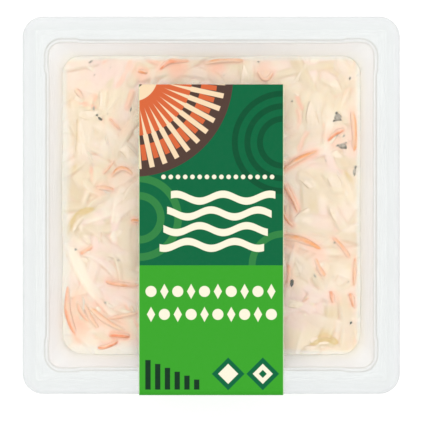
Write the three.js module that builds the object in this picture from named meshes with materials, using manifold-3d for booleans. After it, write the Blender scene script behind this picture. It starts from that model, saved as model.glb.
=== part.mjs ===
// A square tub of coleslaw, sealed by a clear film and banded by a paper label.
//
// Millimetres, +Z up. The origin is the middle of the tub's footprint, at the
// height it stands on. The label folds down over the front, which faces -Y.

import * as THREE from 'three';
import { mergeVertices } from 'three/addons/utils/BufferGeometryUtils.js';
import Module from 'manifold-3d';

// Tub: half widths are measured from the middle to the straight side.
const TUB_TOP = 50;
const WALL = 0.8;
const FLANGE_HALF = 60;
const FLANGE_RADIUS = 6.5;
const FLANGE_THICK = 1.0;
const SKIRT_DROP = 3.2;
const EDGE_ROUND = 1.2;
const EDGE_STEPS = 4;
const MOUTH_HALF = 52.3;
const MOUTH_RADIUS = 5.2;
const LIP_HALF = 51.5;
const LIP_RADIUS = 3.8;
const LIP_DROP = 0.9;
const NECK_HALF = 51.2;
const NECK_Z = 47.4;
const NECK_FLARE = 0.4;
const SHOULDER_HALF = 47.6;
const SHOULDER_RADIUS = 6;
const SHOULDER_Z = 39.5;
const HEEL_HALF = 42.6;
const HEEL_RADIUS = 9;
const HEEL_Z = 4.6;
const HEEL_DROP = 3.8;
const FOOT_HALF = 38.8;
const PUSH_UP_HALF = 34.5;
const PUSH_UP_SLOPE = 1.6;
const PUSH_UP_RISE = 1.2;

// Stacking lugs: the mouth stands out a little round each corner, and for a short
// way past the end of its arc.
const LUG_BULGE = 0.5;
const LUG_LENGTH = 4.3;
const LUG_STEP = 1;
const CORNER_STEPS = 6;

// Film and label
const FILM_HALF = 58.8;
const FILM_THICK = 0.2;
const LABEL_HALF_WIDTH = 23;
const LABEL_BACK = 38.4;
const LABEL_THICK = 0.25;
const LABEL_PROUD = 0.3;
const LABEL_BEND = 1.3;
const LABEL_BEND_STEPS = 4;
const LABEL_GAP = 0.2;
const LABEL_MEETS_WALL_Z = 14;
const LABEL_END_Z = 4.8;

// Coleslaw
const SLAW_LEVEL = 38.9;
const SLAW_CLEAR = 0.4;
const SLAW_FLOOR_Z = 2.4;
const SLAW_RINGS = 9;
const SLAW_SIDE_STEPS = 6;
const SLAW_EDGE_DROP = 3.2;
const SLAW_EDGE_SAG = 0.8;
const SHRED_STEPS = 5;
const SHRED_DIP = 1.1;
const SHRED_TOP_SHARE = 0.8;
const SHRED_CORNER_CUT = 3;
const SLIVER = 0.03;
const SCATTER_CELLS = 7;
const SCATTER_HALF = 44;
const SCATTER_JITTER = [0.2, 0.8];
const SCATTER_HALF_LENGTH = [8, 14];
const SCATTER_WIDTH = [0.8, 1.35];
const SCATTER_BOW = [-0.35, 0.35];
const SCATTER_CARROT_SHARE = 0.25;
const SCATTER_SEED = 5;

const COLOURS = {
  tub: new THREE.Color(0.93, 0.93, 0.9),
  coleslaw: new THREE.Color(0.94, 0.86, 0.74),
  film: new THREE.Color(0.97, 0.97, 0.97),
  label: new THREE.Color(0.1, 0.45, 0.25),
};

const UP = new THREE.Vector3(0, 0, 1);
const wasm = await Module();
wasm.setup();

// One level outline: a square with round corners, walked anticlockwise seen from
// above. `sideSteps` splits each straight side. Outlines with the same number of
// steps have the same number of points, so any two of them can be joined.
function outline(half, radius, z, { lug = 0, sideSteps = 1 } = {}) {
  const points = [];
  const lugStart = half - radius - LUG_LENGTH;
  const sideEnd = lugStart - LUG_STEP;
  for (let corner = 0; corner < 4; corner++) {
    const place = (x, y) => {
      const point = new THREE.Vector3(x, y, z);
      points.push(point.applyAxisAngle(UP, corner * Math.PI / 2));
    };
    for (let i = 1; i < sideSteps; i++) {
      place(half, THREE.MathUtils.lerp(-sideEnd, sideEnd, i / sideSteps));
    }
    const arcMiddle = half + lug - radius;
    place(half, sideEnd);
    place(half + lug, lugStart);
    for (let i = 0; i <= CORNER_STEPS; i++) {
      const angle = (i / CORNER_STEPS) * Math.PI / 2;
      place(arcMiddle + radius * Math.cos(angle), arcMiddle + radius * Math.sin(angle));
    }
    place(lugStart, half + lug);
    place(sideEnd, half);
  }
  return points;
}

// A closed skin through a list of outlines: each is joined to the next, and a fan
// from its middle closes the first and the last.
function loft(rings) {
  const count = rings[0].length;
  const vertices = rings.flat();
  const middle = (ring) => {
    const sum = ring.reduce((total, point) => total.add(point), new THREE.Vector3());
    return sum.divideScalar(count);
  };
  const start = vertices.push(middle(rings[0])) - 1;
  const end = vertices.push(middle(rings.at(-1))) - 1;
  const last = (rings.length - 1) * count;
  const index = [];
  for (let i = 0; i < count; i++) {
    const next = (i + 1) % count;
    index.push(start, next, i);
    index.push(end, last + i, last + next);
    for (let row = 0; row < last; row += count) {
      index.push(row + i, row + next, row + count + next);
      index.push(row + i, row + count + next, row + count + i);
    }
  }
  const geometry = new THREE.BufferGeometry().setFromPoints(vertices);
  geometry.setIndex(index);
  return geometry;
}

// The flange's outer edge, rolled over from its skirt up to its flat top.
function rolledEdge() {
  const rings = [];
  for (let i = 0; i <= EDGE_STEPS; i++) {
    const angle = (i / EDGE_STEPS) * Math.PI / 2;
    const inwards = EDGE_ROUND * (1 - Math.cos(angle));
    const z = TUB_TOP - EDGE_ROUND * (1 - Math.sin(angle));
    rings.push(outline(FLANGE_HALF - inwards, FLANGE_RADIUS - inwards, z));
  }
  return rings;
}

// The inside of the tub from the floor up. `inset` moves it off the plastic.
function insideWall(inset, sideSteps = 1) {
  const wall = [[FOOT_HALF, HEEL_RADIUS, HEEL_Z - HEEL_DROP]];
  for (const turn of [0.35, 0.7]) {
    const angle = turn * Math.PI / 2;
    const half = FOOT_HALF + (HEEL_HALF - FOOT_HALF) * Math.sin(angle);
    wall.push([half, HEEL_RADIUS, HEEL_Z - HEEL_DROP * Math.cos(angle)]);
  }
  wall.push([HEEL_HALF, HEEL_RADIUS, HEEL_Z]);
  wall.push([SHOULDER_HALF, SHOULDER_RADIUS, SHOULDER_Z]);
  wall.push([NECK_HALF, LIP_RADIUS, NECK_Z]);
  return wall.map(([half, radius, z]) => (
    outline(half - inset, radius - inset, z, { sideSteps })
  ));
}

function makeTub() {
  const pushUpTop = PUSH_UP_HALF - PUSH_UP_SLOPE;
  const skirtZ = TUB_TOP - SKIRT_DROP;
  const flangeUnder = TUB_TOP - FLANGE_THICK;
  const skirtInner = FLANGE_HALF - WALL;
  const outside = [
    outline(pushUpTop, HEEL_RADIUS, PUSH_UP_RISE),
    outline(PUSH_UP_HALF, HEEL_RADIUS, 0),
    outline(FOOT_HALF, HEEL_RADIUS, 0),
    ...insideWall(-WALL).slice(1),
    outline(NECK_HALF + WALL + NECK_FLARE, LIP_RADIUS + WALL, flangeUnder),
    outline(skirtInner - EDGE_ROUND, FLANGE_RADIUS - EDGE_ROUND, flangeUnder),
    outline(skirtInner, FLANGE_RADIUS - WALL, flangeUnder - EDGE_ROUND),
    outline(skirtInner, FLANGE_RADIUS - WALL, skirtZ),
    outline(FLANGE_HALF, FLANGE_RADIUS, skirtZ),
  ];
  const mouth = [
    outline(MOUTH_HALF, MOUTH_RADIUS, TUB_TOP, { lug: LUG_BULGE }),
    outline(LIP_HALF, LIP_RADIUS, TUB_TOP - LIP_DROP),
  ];
  const floorZ = PUSH_UP_RISE + WALL;
  const inside = [
    ...insideWall(0).reverse(),
    outline(PUSH_UP_HALF, HEEL_RADIUS, HEEL_Z - HEEL_DROP),
    outline(pushUpTop, HEEL_RADIUS, floorZ),
  ];
  return loft([...outside, ...rolledEdge(), ...mouth, ...inside]);
}

// A lidding film with round corners, flat across the flange.
function makeFilm() {
  const radius = FLANGE_RADIUS - (FLANGE_HALF - FILM_HALF);
  return loft([
    outline(FILM_HALF, radius, TUB_TOP),
    outline(FILM_HALF, radius, TUB_TOP + FILM_THICK),
  ]);
}

// The label is one strip of paper. Its path is drawn in the plane that the front
// and the height span: over the film, down the flange's edge, then straight across
// to the wall, and stuck to the wall as far as its end.
function makeLabel() {
  const top = TUB_TOP + FILM_THICK;
  const front = -(FLANGE_HALF + LABEL_PROUD);
  const skirtZ = TUB_TOP - SKIRT_DROP;
  const wallAt = (z) => {
    const rise = (z - HEEL_Z) / (SHOULDER_Z - HEEL_Z);
    const half = HEEL_HALF + WALL + (SHOULDER_HALF - HEEL_HALF) * rise;
    return -(half + LABEL_GAP);
  };
  const landing = new THREE.Vector2(wallAt(LABEL_MEETS_WALL_Z), LABEL_MEETS_WALL_Z);
  const slope = Math.atan2(landing.x - front, skirtZ - landing.y);
  const path = [new THREE.Vector2(LABEL_BACK, top)];
  const bend = (centreZ, fromAngle, toAngle) => {
    for (let i = 0; i <= LABEL_BEND_STEPS; i++) {
      const angle = THREE.MathUtils.lerp(fromAngle, toAngle, i / LABEL_BEND_STEPS);
      const y = front + LABEL_BEND * (1 - Math.sin(angle));
      path.push(new THREE.Vector2(y, centreZ + LABEL_BEND * Math.cos(angle)));
    }
  };
  bend(top - LABEL_BEND, 0, Math.PI / 2);
  bend(skirtZ, Math.PI / 2, Math.PI / 2 + slope);
  path.push(landing);
  path.push(new THREE.Vector2(wallAt(LABEL_END_Z), LABEL_END_Z));

  const outer = path.map((point, i) => {
    const before = path[Math.max(i - 1, 0)];
    const after = path[Math.min(i + 1, path.length - 1)];
    const along = new THREE.Vector2().subVectors(after, before).normalize();
    const away = new THREE.Vector2(along.y, -along.x);
    return point.clone().addScaledVector(away, LABEL_THICK);
  });
  const shape = new THREE.Shape([...path, ...outer.reverse()]);
  const geometry = new THREE.ExtrudeGeometry(shape, {
    depth: 2 * LABEL_HALF_WIDTH,
    bevelEnabled: false,
  });
  const axes = new THREE.Matrix4().makeBasis(
    new THREE.Vector3(0, 1, 0), new THREE.Vector3(0, 0, 1), new THREE.Vector3(1, 0, 0),
  );
  geometry.applyMatrix4(axes);
  geometry.translate(-LABEL_HALF_WIDTH, 0, 0);
  return geometry;
}

// The dressed surface rises and falls in soft, broad lumps.
function slawHeight(x, y) {
  const broad = 0.9 * Math.sin(x / 10 + 0.9) * Math.cos(y / 12 - 0.5);
  const small = 0.45 * Math.sin(x / 4.7 - y / 6.1) + 0.35 * Math.cos(x / 7.3 + y / 4.4);
  return SLAW_LEVEL + broad + small;
}

// The body of the salad: it fills the tub up to the lumpy surface.
function makeCore() {
  const sideSteps = SLAW_SIDE_STEPS;
  const edgeHalf = SHOULDER_HALF - 2 * SLAW_CLEAR;
  const rings = [
    outline(FOOT_HALF - SLAW_CLEAR, HEEL_RADIUS, SLAW_FLOOR_Z, { sideSteps }),
    ...insideWall(SLAW_CLEAR, sideSteps).slice(2, 4),
    outline(edgeHalf, SHOULDER_RADIUS, SLAW_LEVEL - SLAW_EDGE_DROP, { sideSteps }),
  ];
  const edge = outline(edgeHalf, SHOULDER_RADIUS, 0, { sideSteps });
  for (let i = 0; i < SLAW_RINGS; i++) {
    const shrink = 1 - i / SLAW_RINGS;
    const sag = i === 0 ? SLAW_EDGE_SAG : 0;
    rings.push(edge.map(({ x, y }) => (
      new THREE.Vector3(x * shrink, y * shrink, slawHeight(x * shrink, y * shrink) - sag)
    )));
  }
  return loft(rings);
}

// A shred lies on the surface along an arc between two places. `bow` is how far
// the arc's middle stands to the left of the straight line between them.
function makeShred({ from, to, bow, width, thick, rise, lean }) {
  const start = new THREE.Vector2(...from);
  const end = new THREE.Vector2(...to);
  const across = new THREE.Vector2().subVectors(end, start).normalize();
  const left = new THREE.Vector2(-across.y, across.x);
  const control = new THREE.Vector2().addVectors(start, end).divideScalar(2);
  control.addScaledVector(left, 2 * bow);
  const arc = new THREE.QuadraticBezierCurve(start, control, end);

  const reach = SHOULDER_HALF - 2 * SLAW_CLEAR - width / 2;
  const section = [[-1, -1], [1, -1], [SHRED_TOP_SHARE, 1], [-SHRED_TOP_SHARE, 1]];
  const vertices = [];
  for (let i = 0; i <= SHRED_STEPS; i++) {
    const t = i / SHRED_STEPS;
    const swell = Math.sin(Math.PI * t);
    const place = arc.getPoint(t).clampScalar(-reach, reach);
    const overCorner = Math.abs(place.x) + Math.abs(place.y) - (2 * reach - SHRED_CORNER_CUT);
    if (overCorner > 0) {
      place.x -= Math.sign(place.x) * overCorner / 2;
      place.y -= Math.sign(place.y) * overCorner / 2;
    }
    const along = arc.getTangent(t);
    const z = slawHeight(place.x, place.y) + rise * swell - SHRED_DIP * (1 - Math.sqrt(swell));
    const side = new THREE.Vector3(-along.y, along.x, 0).multiplyScalar(Math.cos(lean));
    side.z = Math.sin(lean) * (1 - 2 * t);
    const up = new THREE.Vector3(along.x, along.y, 0).cross(side);
    const halfWide = width / 2 * (0.5 + 0.5 * Math.sqrt(swell));
    for (const [sideways, upwards] of section) {
      const vertex = new THREE.Vector3(place.x, place.y, z);
      vertex.addScaledVector(side, sideways * halfWide);
      vertex.addScaledVector(up, upwards * thick / 2);
      vertices.push(vertex);
    }
  }

  const index = [0, 3, 1, 1, 3, 2];
  const tail = SHRED_STEPS * 4;
  index.push(tail, tail + 1, tail + 3, tail + 1, tail + 2, tail + 3);
  for (let row = 0; row < tail; row += 4) {
    for (let i = 0; i < 4; i++) {
      const next = (i + 1) % 4;
      index.push(row + i, row + next, row + 4 + next);
      index.push(row + i, row + 4 + next, row + 4 + i);
    }
  }
  const geometry = new THREE.BufferGeometry().setFromPoints(vertices);
  geometry.setIndex(index);
  return geometry;
}

// Shreds that show: start, end and bow in millimetres. Carrot is cut thin and
// narrow, cabbage in flat ribbons.
const CARROT = { width: 1.7, thick: 1.6, rise: 0.35, lean: 0.15 };
const CABBAGE = { width: 3.2, thick: 1.3, rise: 0.3, lean: 0.35 };
const SHOWN = [
  [CARROT, [-17.5, 42], [-5.5, 46.8], 2.0],
  [CARROT, [-3, 45], [11.5, 46.3], 0.6],
  [CARROT, [14.5, 44.5], [20.6, 44.2], -4.0],
  [CARROT, [45.6, 32], [46.2, 16], 0.5],
  [CARROT, [22, 10.5], [35, 17.6], 0.8],
  [CARROT, [23, 7], [28, -3], 0.5],
  [CARROT, [22, 0], [27, -7.5], -0.5],
  [CARROT, [20, -10.5], [36.2, -15.5], 1.9],
  [CARROT, [33.5, -16], [37, -23.2], -0.8],
  [CARROT, [38, -9.5], [44.8, -18], 0.6],
  [CARROT, [46.5, -15.5], [45.8, -27], -0.2],
  [CARROT, [38.2, -26.8], [39.2, -32.3], 0.2],
  [CARROT, [44.2, -27.5], [45.6, -33.4], 0.4],
  [CARROT, [37, 20.2], [43.6, 24.6], 0.8],
  [CARROT, [24.8, -18], [23.8, -27], 0.6],
  [CARROT, [-35, -23.8], [-22, -25.4], -0.7],
  [CARROT, [-45.6, -22], [-41.6, -45], -2.5],
  [CARROT, [-42.8, -29.5], [-38.2, -38], -1.2],
  [CARROT, [-41.2, -30], [-35.4, -40.4], -0.7],
  [CARROT, [-40.2, -31], [-25.8, -41], -1.3],
  [CARROT, [-33, -41.5], [-25.6, -42], 0.1],
  [CARROT, [-36.8, -45.8], [-29.6, -43.2], -0.6],
  [CARROT, [-34, -36.3], [-22, -34.2], -0.2],
  [CARROT, [-42.6, -16], [-37.6, -13], 0.1],
  [CARROT, [-33, 7.5], [-24, 7.8], 4.2],
  [CARROT, [-37.6, 5.6], [-30.6, 4.8], 0.3],
  [CABBAGE, [-45, -11], [-37, -2], 2.5],
  [CABBAGE, [31.5, -46], [41.5, -44.6], 2.0],
  [CABBAGE, [11.8, 47], [11, 33], -0.4],
  [CABBAGE, [35.6, 36], [34.8, 22], -3.0],
  [CABBAGE, [34.5, 41.5], [41.5, 35], 1.3],
  [CABBAGE, [39, 46], [46, 37], 1.6],
  [CABBAGE, [22, -31.2], [33.5, -34.4], 0.8],
  [CABBAGE, [-45, 31], [-34, 29.5], -1.4],
  [CABBAGE, [-41.2, 30], [-42, 10], 0.4],
  [CABBAGE, [-38, -13.5], [-25.5, -21.5], 2.2],
];

// A small repeatable source of numbers from 0 to 1.
function makeRandom(seed) {
  let state = seed;
  return () => {
    state = (state * 1664525 + 1013904223) % 4294967296;
    return state / 4294967296;
  };
}

// The other shreds: one near the middle of each cell of a square grid.
function scatterShreds() {
  const random = makeRandom(SCATTER_SEED);
  const between = ([low, high]) => low + (high - low) * random();
  const cell = 2 * SCATTER_HALF / SCATTER_CELLS;
  const shreds = [];
  for (let column = 0; column < SCATTER_CELLS; column++) {
    for (let row = 0; row < SCATTER_CELLS; row++) {
      const x = -SCATTER_HALF + (column + between(SCATTER_JITTER)) * cell;
      const y = -SCATTER_HALF + (row + between(SCATTER_JITTER)) * cell;
      const kind = random() < SCATTER_CARROT_SHARE ? CARROT : CABBAGE;
      const half = between(SCATTER_HALF_LENGTH);
      const heading = between([0, 2 * Math.PI]);
      const step = [half * Math.cos(heading), half * Math.sin(heading)];
      shreds.push({
        ...kind,
        width: kind.width * between(SCATTER_WIDTH),
        from: [x - step[0], y - step[1]],
        to: [x + step[0], y + step[1]],
        bow: half * between(SCATTER_BOW),
      });
    }
  }
  return shreds;
}

function toSolid(geometry) {
  const bare = geometry.clone();
  bare.deleteAttribute('normal');
  bare.deleteAttribute('uv');
  const merged = mergeVertices(bare);
  return new wasm.Manifold(new wasm.Mesh({
    numProp: 3,
    vertProperties: new Float32Array(merged.attributes.position.array),
    triVerts: new Uint32Array(merged.index.array),
  }));
}

function toGeometry(solid) {
  const { vertProperties, triVerts } = solid.getMesh();
  const geometry = new THREE.BufferGeometry();
  geometry.setAttribute('position', new THREE.BufferAttribute(vertProperties, 3));
  geometry.setIndex(new THREE.BufferAttribute(triVerts, 1));
  return geometry;
}

function makeColeslaw() {
  const shown = SHOWN.map(([kind, from, to, bow]) => ({ ...kind, from, to, bow }));
  let solid = toSolid(makeCore());
  for (const shred of [...shown, ...scatterShreds()]) {
    solid = solid.add(toSolid(makeShred(shred)));
  }
  // The one outer skin is kept, so a hollow that crossing shreds seal is filled.
  const skins = solid.simplify(SLIVER).decompose();
  skins.sort((one, other) => other.volume() - one.volume());
  return toGeometry(skins[0]);
}

function named(name, geometry, look) {
  const mesh = new THREE.Mesh(geometry, new THREE.MeshStandardMaterial({
    color: COLOURS[name],
    metalness: 0,
    ...look,
  }));
  mesh.name = name;
  return mesh;
}

const group = new THREE.Group();
group.add(named('tub', makeTub(), { roughness: 0.45, transparent: true, opacity: 0.6 }));
group.add(named('coleslaw', makeColeslaw(), { roughness: 0.5 }));
group.add(named('film', makeFilm(), { roughness: 0.2, transparent: true, opacity: 0.15 }));
group.add(named('label', makeLabel(), { roughness: 0.6 }));

export default group;
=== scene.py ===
# %% [markdown]
# # A tub of coleslaw
#
# A square, milky plastic tub is filled with coleslaw, sealed with a clear film
# and banded with a paper label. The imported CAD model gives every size. This
# lesson dresses it: each CAD part is replaced by a finer piece that stands in
# exactly the same place, and each piece gets a finish made of nodes.
#
# All lengths below are written in millimetres, because that is how the tub was
# drawn. One factor turns them into Blender's metres as each mesh is made.

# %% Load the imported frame
import math

import bpy
import numpy as np
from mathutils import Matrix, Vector


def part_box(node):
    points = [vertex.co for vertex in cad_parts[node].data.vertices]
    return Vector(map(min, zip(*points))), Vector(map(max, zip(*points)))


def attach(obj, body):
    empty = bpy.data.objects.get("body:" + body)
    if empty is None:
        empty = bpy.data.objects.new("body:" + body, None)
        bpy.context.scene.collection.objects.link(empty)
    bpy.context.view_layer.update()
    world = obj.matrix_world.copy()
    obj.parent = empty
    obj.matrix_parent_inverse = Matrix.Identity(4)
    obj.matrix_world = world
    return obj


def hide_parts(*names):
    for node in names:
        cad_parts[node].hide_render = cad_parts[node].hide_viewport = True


MM = 0.001

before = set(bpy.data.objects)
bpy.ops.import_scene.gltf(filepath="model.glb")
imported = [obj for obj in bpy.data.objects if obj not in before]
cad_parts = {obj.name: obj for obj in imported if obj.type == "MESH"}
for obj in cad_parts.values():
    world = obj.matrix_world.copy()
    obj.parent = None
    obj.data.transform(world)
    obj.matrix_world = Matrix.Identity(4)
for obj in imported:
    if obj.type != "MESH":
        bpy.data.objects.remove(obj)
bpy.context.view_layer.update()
for part in sorted(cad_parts):
    low, high = ([round(v / MM, 1) for v in corner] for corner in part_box(part))
    print(part, "stands from", low, "to", high)

# %% [markdown]
# ## The studio
#
# The tub lies on a pale, softly lit table and is seen from straight above, the
# way a catalogue shows it. A long lens far away keeps the sides of the tub out
# of sight. Light comes from all round, so the only shadows are faint ones in the
# folds of the salad. A big softbox, a little to one side, gives the film and the
# wet dressing something to shine with.

# %% Camera, lights and table
CAMERA_PLACE = (-0.00006, -0.00184, 1.25)
LENS = 322.0
SENSOR = 36.0
TUB_MIDDLE = (0.0, 0.0, 0.03)
SKY_STRENGTH = 0.63
WHITE = (1.0, 1.0, 1.0, 1.0)

scene = bpy.context.scene
scene.view_settings.view_transform = "Standard"


def add_object(name, data):
    """A new object in the scene."""
    made = bpy.data.objects.new(name, data)
    scene.collection.objects.link(made)
    return made


camera_data = bpy.data.cameras.new("camera")
camera_data.lens = LENS
camera_data.sensor_width = SENSOR
camera = add_object("camera", camera_data)
camera.location = CAMERA_PLACE
scene.camera = camera


def softbox(name, place, size, power):
    """A square area light that faces the tub."""
    data = bpy.data.lights.new(name, "AREA")
    data.shape = "SQUARE"
    data.size = size
    data.energy = power
    light = add_object(name, data)
    light.location = place
    facing = Vector(TUB_MIDDLE) - Vector(place)
    light.rotation_euler = facing.to_track_quat("-Z", "Y").to_euler()


softbox("overhead_softbox", (0.0, 0.05, 1.9), 1.3, 15.2)
softbox("key_softbox", (-0.75, 0.95, 1.25), 0.9, 5.0)
softbox("fill_softbox", (0.9, -0.6, 1.3), 1.2, 2.5)

world = bpy.data.worlds.new("studio")
world.use_nodes = True
background = world.node_tree.nodes["Background"]
background.inputs["Color"].default_value = WHITE
background.inputs["Strength"].default_value = SKY_STRENGTH
scene.world = world
print("camera", round(CAMERA_PLACE[2], 3), "m above the table, lens", LENS, "mm")

# %% [markdown]
# ## Nodes written as arithmetic
#
# A material is a small calculation about each point of a surface: how much
# carrot, how much cream, how rough. Written with Python's own operators such a
# calculation can be read like a recipe. `Wire` is an output socket: adding or
# multiplying wires adds a Math node. `Recipe.node` adds every other node.


# %% Wire and Recipe
def operator(name, swapped=False):
    """A method of Wire that adds a Math node."""
    def method(first, *second):
        values = (first, *second)
        return first.recipe.math(name, *(values[::-1] if swapped else values))
    return method


class Wire:
    """An output socket of a node tree that can be used in arithmetic."""

    def __init__(self, recipe, socket):
        self.recipe = recipe
        self.socket = socket

    __add__, __radd__ = operator("ADD"), operator("ADD", swapped=True)
    __sub__, __rsub__ = operator("SUBTRACT"), operator("SUBTRACT", swapped=True)
    __mul__, __rmul__ = operator("MULTIPLY"), operator("MULTIPLY", swapped=True)
    __truediv__ = operator("DIVIDE")
    __mod__ = operator("FLOORED_MODULO")
    __abs__ = operator("ABSOLUTE")


class Recipe:
    """A node tree in the making. Every node of it comes from node()."""

    def __init__(self, tree):
        self.tree = tree

    def node(self, kind, settings=None, sockets=None, output=0):
        """Adds a node, sets its settings, then fills or links its input sockets."""
        made = self.tree.nodes.new(kind)
        for name, value in (settings or {}).items():
            setattr(made, name, value)
        for key, value in (sockets or {}).items():
            if isinstance(value, Wire):
                self.tree.links.new(value.socket, made.inputs[key])
            else:
                made.inputs[key].default_value = value
        return Wire(self, made.outputs[output]) if made.outputs else made

    def math(self, operation, *values):
        """A Math node of any kind."""
        return self.node("ShaderNodeMath", {"operation": operation}, dict(enumerate(values)))

    def vector(self, operation, first, second):
        """A Vector Math node of any kind."""
        return self.node("ShaderNodeVectorMath", {"operation": operation}, {0: first, 1: second})

    def part(self, vector, axis):
        """One of a vector's three numbers."""
        return self.node("ShaderNodeSeparateXYZ", None, {0: vector}, axis)

    def blend(self, share, first, second):
        """The colour `first` where share is 0 and `second` where it is 1."""
        first, second = ((*c, 1.0) if isinstance(c, tuple) else c for c in (first, second))
        settings = {"data_type": "RGBA", "clamp_factor": True}
        return self.node("ShaderNodeMix", settings, {0: share, 6: first, 7: second}, output=2)

    def coats(self, colour, *coats):
        """A colour under a row of coats. Each coat is its share and its colour."""
        for share, coat in coats:
            colour = self.blend(share, colour, coat)
        return colour

    def ease(self, value, low, high, start=0.0, end=1.0):
        """Goes smoothly from start to end as value goes from low to high."""
        sockets = {"Value": value, "From Min": low, "From Max": high,
                   "To Min": start, "To Max": end}
        return self.node("ShaderNodeMapRange", {"interpolation_type": "SMOOTHSTEP"}, sockets)

    def noise(self, where, scale, detail=2.0):
        """Cloudy noise from 0 to 1. Scale is in clouds a metre."""
        sockets = {"Vector": where, "Scale": scale, "Detail": detail}
        return self.node("ShaderNodeTexNoise", None, sockets)

    def number(self, name):
        """A number that the mesh carries at each vertex."""
        settings = {"attribute_type": "GEOMETRY", "attribute_name": name}
        return self.node("ShaderNodeAttribute", settings, output="Fac")

    def place(self):
        """Object coordinates, in metres."""
        return self.node("ShaderNodeTexCoord", output="Object")

    def bump(self, height, depth, strength=1.0):
        """A normal from a height of 0 to 1, whose full step is depth millimetres."""
        sockets = {"Height": height, "Distance": depth * MM, "Strength": strength}
        return self.node("ShaderNodeBump", None, sockets)


def new_material(name):
    """An empty material, and the recipe that fills it."""
    material = bpy.data.materials.new(name)
    material.use_nodes = True
    material.node_tree.nodes.clear()
    return material, Recipe(material.node_tree)


def plain_shader(recipe, sockets):
    """Ends a material in one Principled shader."""
    shader = recipe.node("ShaderNodeBsdfPrincipled", None, sockets)
    recipe.node("ShaderNodeOutputMaterial", None, {"Surface": shader})


def rgb(red, green, blue):
    """A screen colour from 0 to 255 as the linear colour that shaders take."""
    def linear(value):
        value = value / 255
        return value / 12.92 if value <= 0.04045 else ((value + 0.055) / 1.055) ** 2.4
    return (linear(red), linear(green), linear(blue))


print("a mid grey of 188 is", round(rgb(188, 188, 188)[0], 3), "in linear light")

# %% [markdown]
# ## Meshes from numbers
#
# The tub, the film and the label are all sheets that follow a rule, so they are
# made from tables of points. `grid_faces` joins a table of points into squares.
# `make_piece` turns points in millimetres into a mesh object at the origin, with
# any numbers that its material will want to read at each point.

# %% Helpers for meshes
def grid_faces(rows, columns, start=0, closed=False, flip=False):
    """Squares in a table of points. Closed joins the last column to the first."""
    row, column = np.indices((rows - 1, columns if closed else columns - 1))
    here = start + row * columns + column
    beside = start + row * columns + (column + 1) % columns
    quads = np.stack([here, beside, beside + columns, here + columns], axis=-1).reshape(-1, 4)
    return quads[:, ::-1] if flip else quads


def store(mesh, key, values, domain="POINT"):
    """Writes a number, a direction or a yes-or-no for each point or edge of a mesh."""
    values = np.asarray(values)
    if values.dtype == bool:
        kind, field = "BOOLEAN", "value"
    else:
        values = values.astype(np.float32)
        kind, field = ("FLOAT_VECTOR", "vector") if values.ndim == 2 else ("FLOAT", "value")
    mesh.attributes.new(key, kind, domain).data.foreach_set(field, values.ravel())


def make_piece(name, points, faces, numbers=None, material=None, edges=()):
    """A smooth mesh object whose points are given in millimetres."""
    mesh = bpy.data.meshes.new(name)
    faces = [list(map(int, face)) for face in faces]
    mesh.from_pydata((np.asarray(points) * MM).tolist(), edges, faces)
    for key, values in (numbers or {}).items():
        store(mesh, key, values)
    mesh.polygons.foreach_set("use_smooth", [True] * len(mesh.polygons))
    if material:
        mesh.materials.append(material)
    mesh.update()
    return add_object(name, mesh)


def set_down(piece, node):
    """Puts a finished piece in its CAD part's place."""
    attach(piece, "root")
    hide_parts(node)
    triangles = sum(len(face.vertices) - 2 for face in piece.data.polygons)
    print(piece.name, "stands for", node, "with", triangles, "triangles")


# %% The table
TABLE_SIZE = 6000.0
TABLE_Z = -0.2

table_material, recipe = new_material("white_table")
speckle = recipe.noise(recipe.place(), 9.0)
plain_shader(recipe, {
    "Base Color": recipe.blend(speckle, (0.34, 0.34, 0.34), (0.36, 0.36, 0.36)),
    "Roughness": 0.9,
    "Emission Color": WHITE,
    "Emission Strength": 0.72,
})
half = TABLE_SIZE / 2
corners = [(x * half, y * half, TABLE_Z) for x, y in ((-1, -1), (1, -1), (1, 1), (-1, 1))]
table = make_piece("table", corners, [(0, 1, 2, 3)], material=table_material)
print("the table is", TABLE_SIZE * MM, "m square")

# %% [markdown]
# ## The tub
#
# A tub like this is drawn from one sheet of polypropylene, about as thick as a
# fingernail, so all its bends are round. Its shape follows a rule: every level
# cut through it is a square with round corners. So the tub is a list of such
# outlines, from the middle of its underside, up the outside, over the rolled
# flange, down the inside to the middle of its floor. Rounding each bend of that
# list is what makes the plastic look moulded.

# %% The outline of a level cut
CORNER_STEPS = 14
LUG_LENGTH = 4.3
LUG_STEP = 1.0
SHORT_SIDE = 0.35


def outline(z, half, radius, lug=0.0, side_steps=1):
    """Points round a square with round corners, anticlockwise. `lug` moves the corners out."""
    straight = half - radius
    lug_start = straight - min(LUG_LENGTH, SHORT_SIDE * straight)
    side_end = lug_start - min(LUG_STEP, SHORT_SIDE * lug_start)
    quarter = [(half, side_end * (2 * i / side_steps - 1)) for i in range(1, side_steps)]
    quarter += [(half, side_end), (half + lug, lug_start)]
    middle = half + lug - radius
    for angle in np.linspace(0, math.pi / 2, CORNER_STEPS + 1):
        quarter.append((middle + radius * math.cos(angle), middle + radius * math.sin(angle)))
    quarter += [(lug_start, half + lug), (side_end, half)]
    turns = [np.array(quarter)]
    for _ in range(3):
        turns.append(np.stack([-turns[-1][:, 1], turns[-1][:, 0]], axis=1))
    ring = np.concatenate(turns)
    return np.column_stack([ring, np.full(len(ring), z)])


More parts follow.
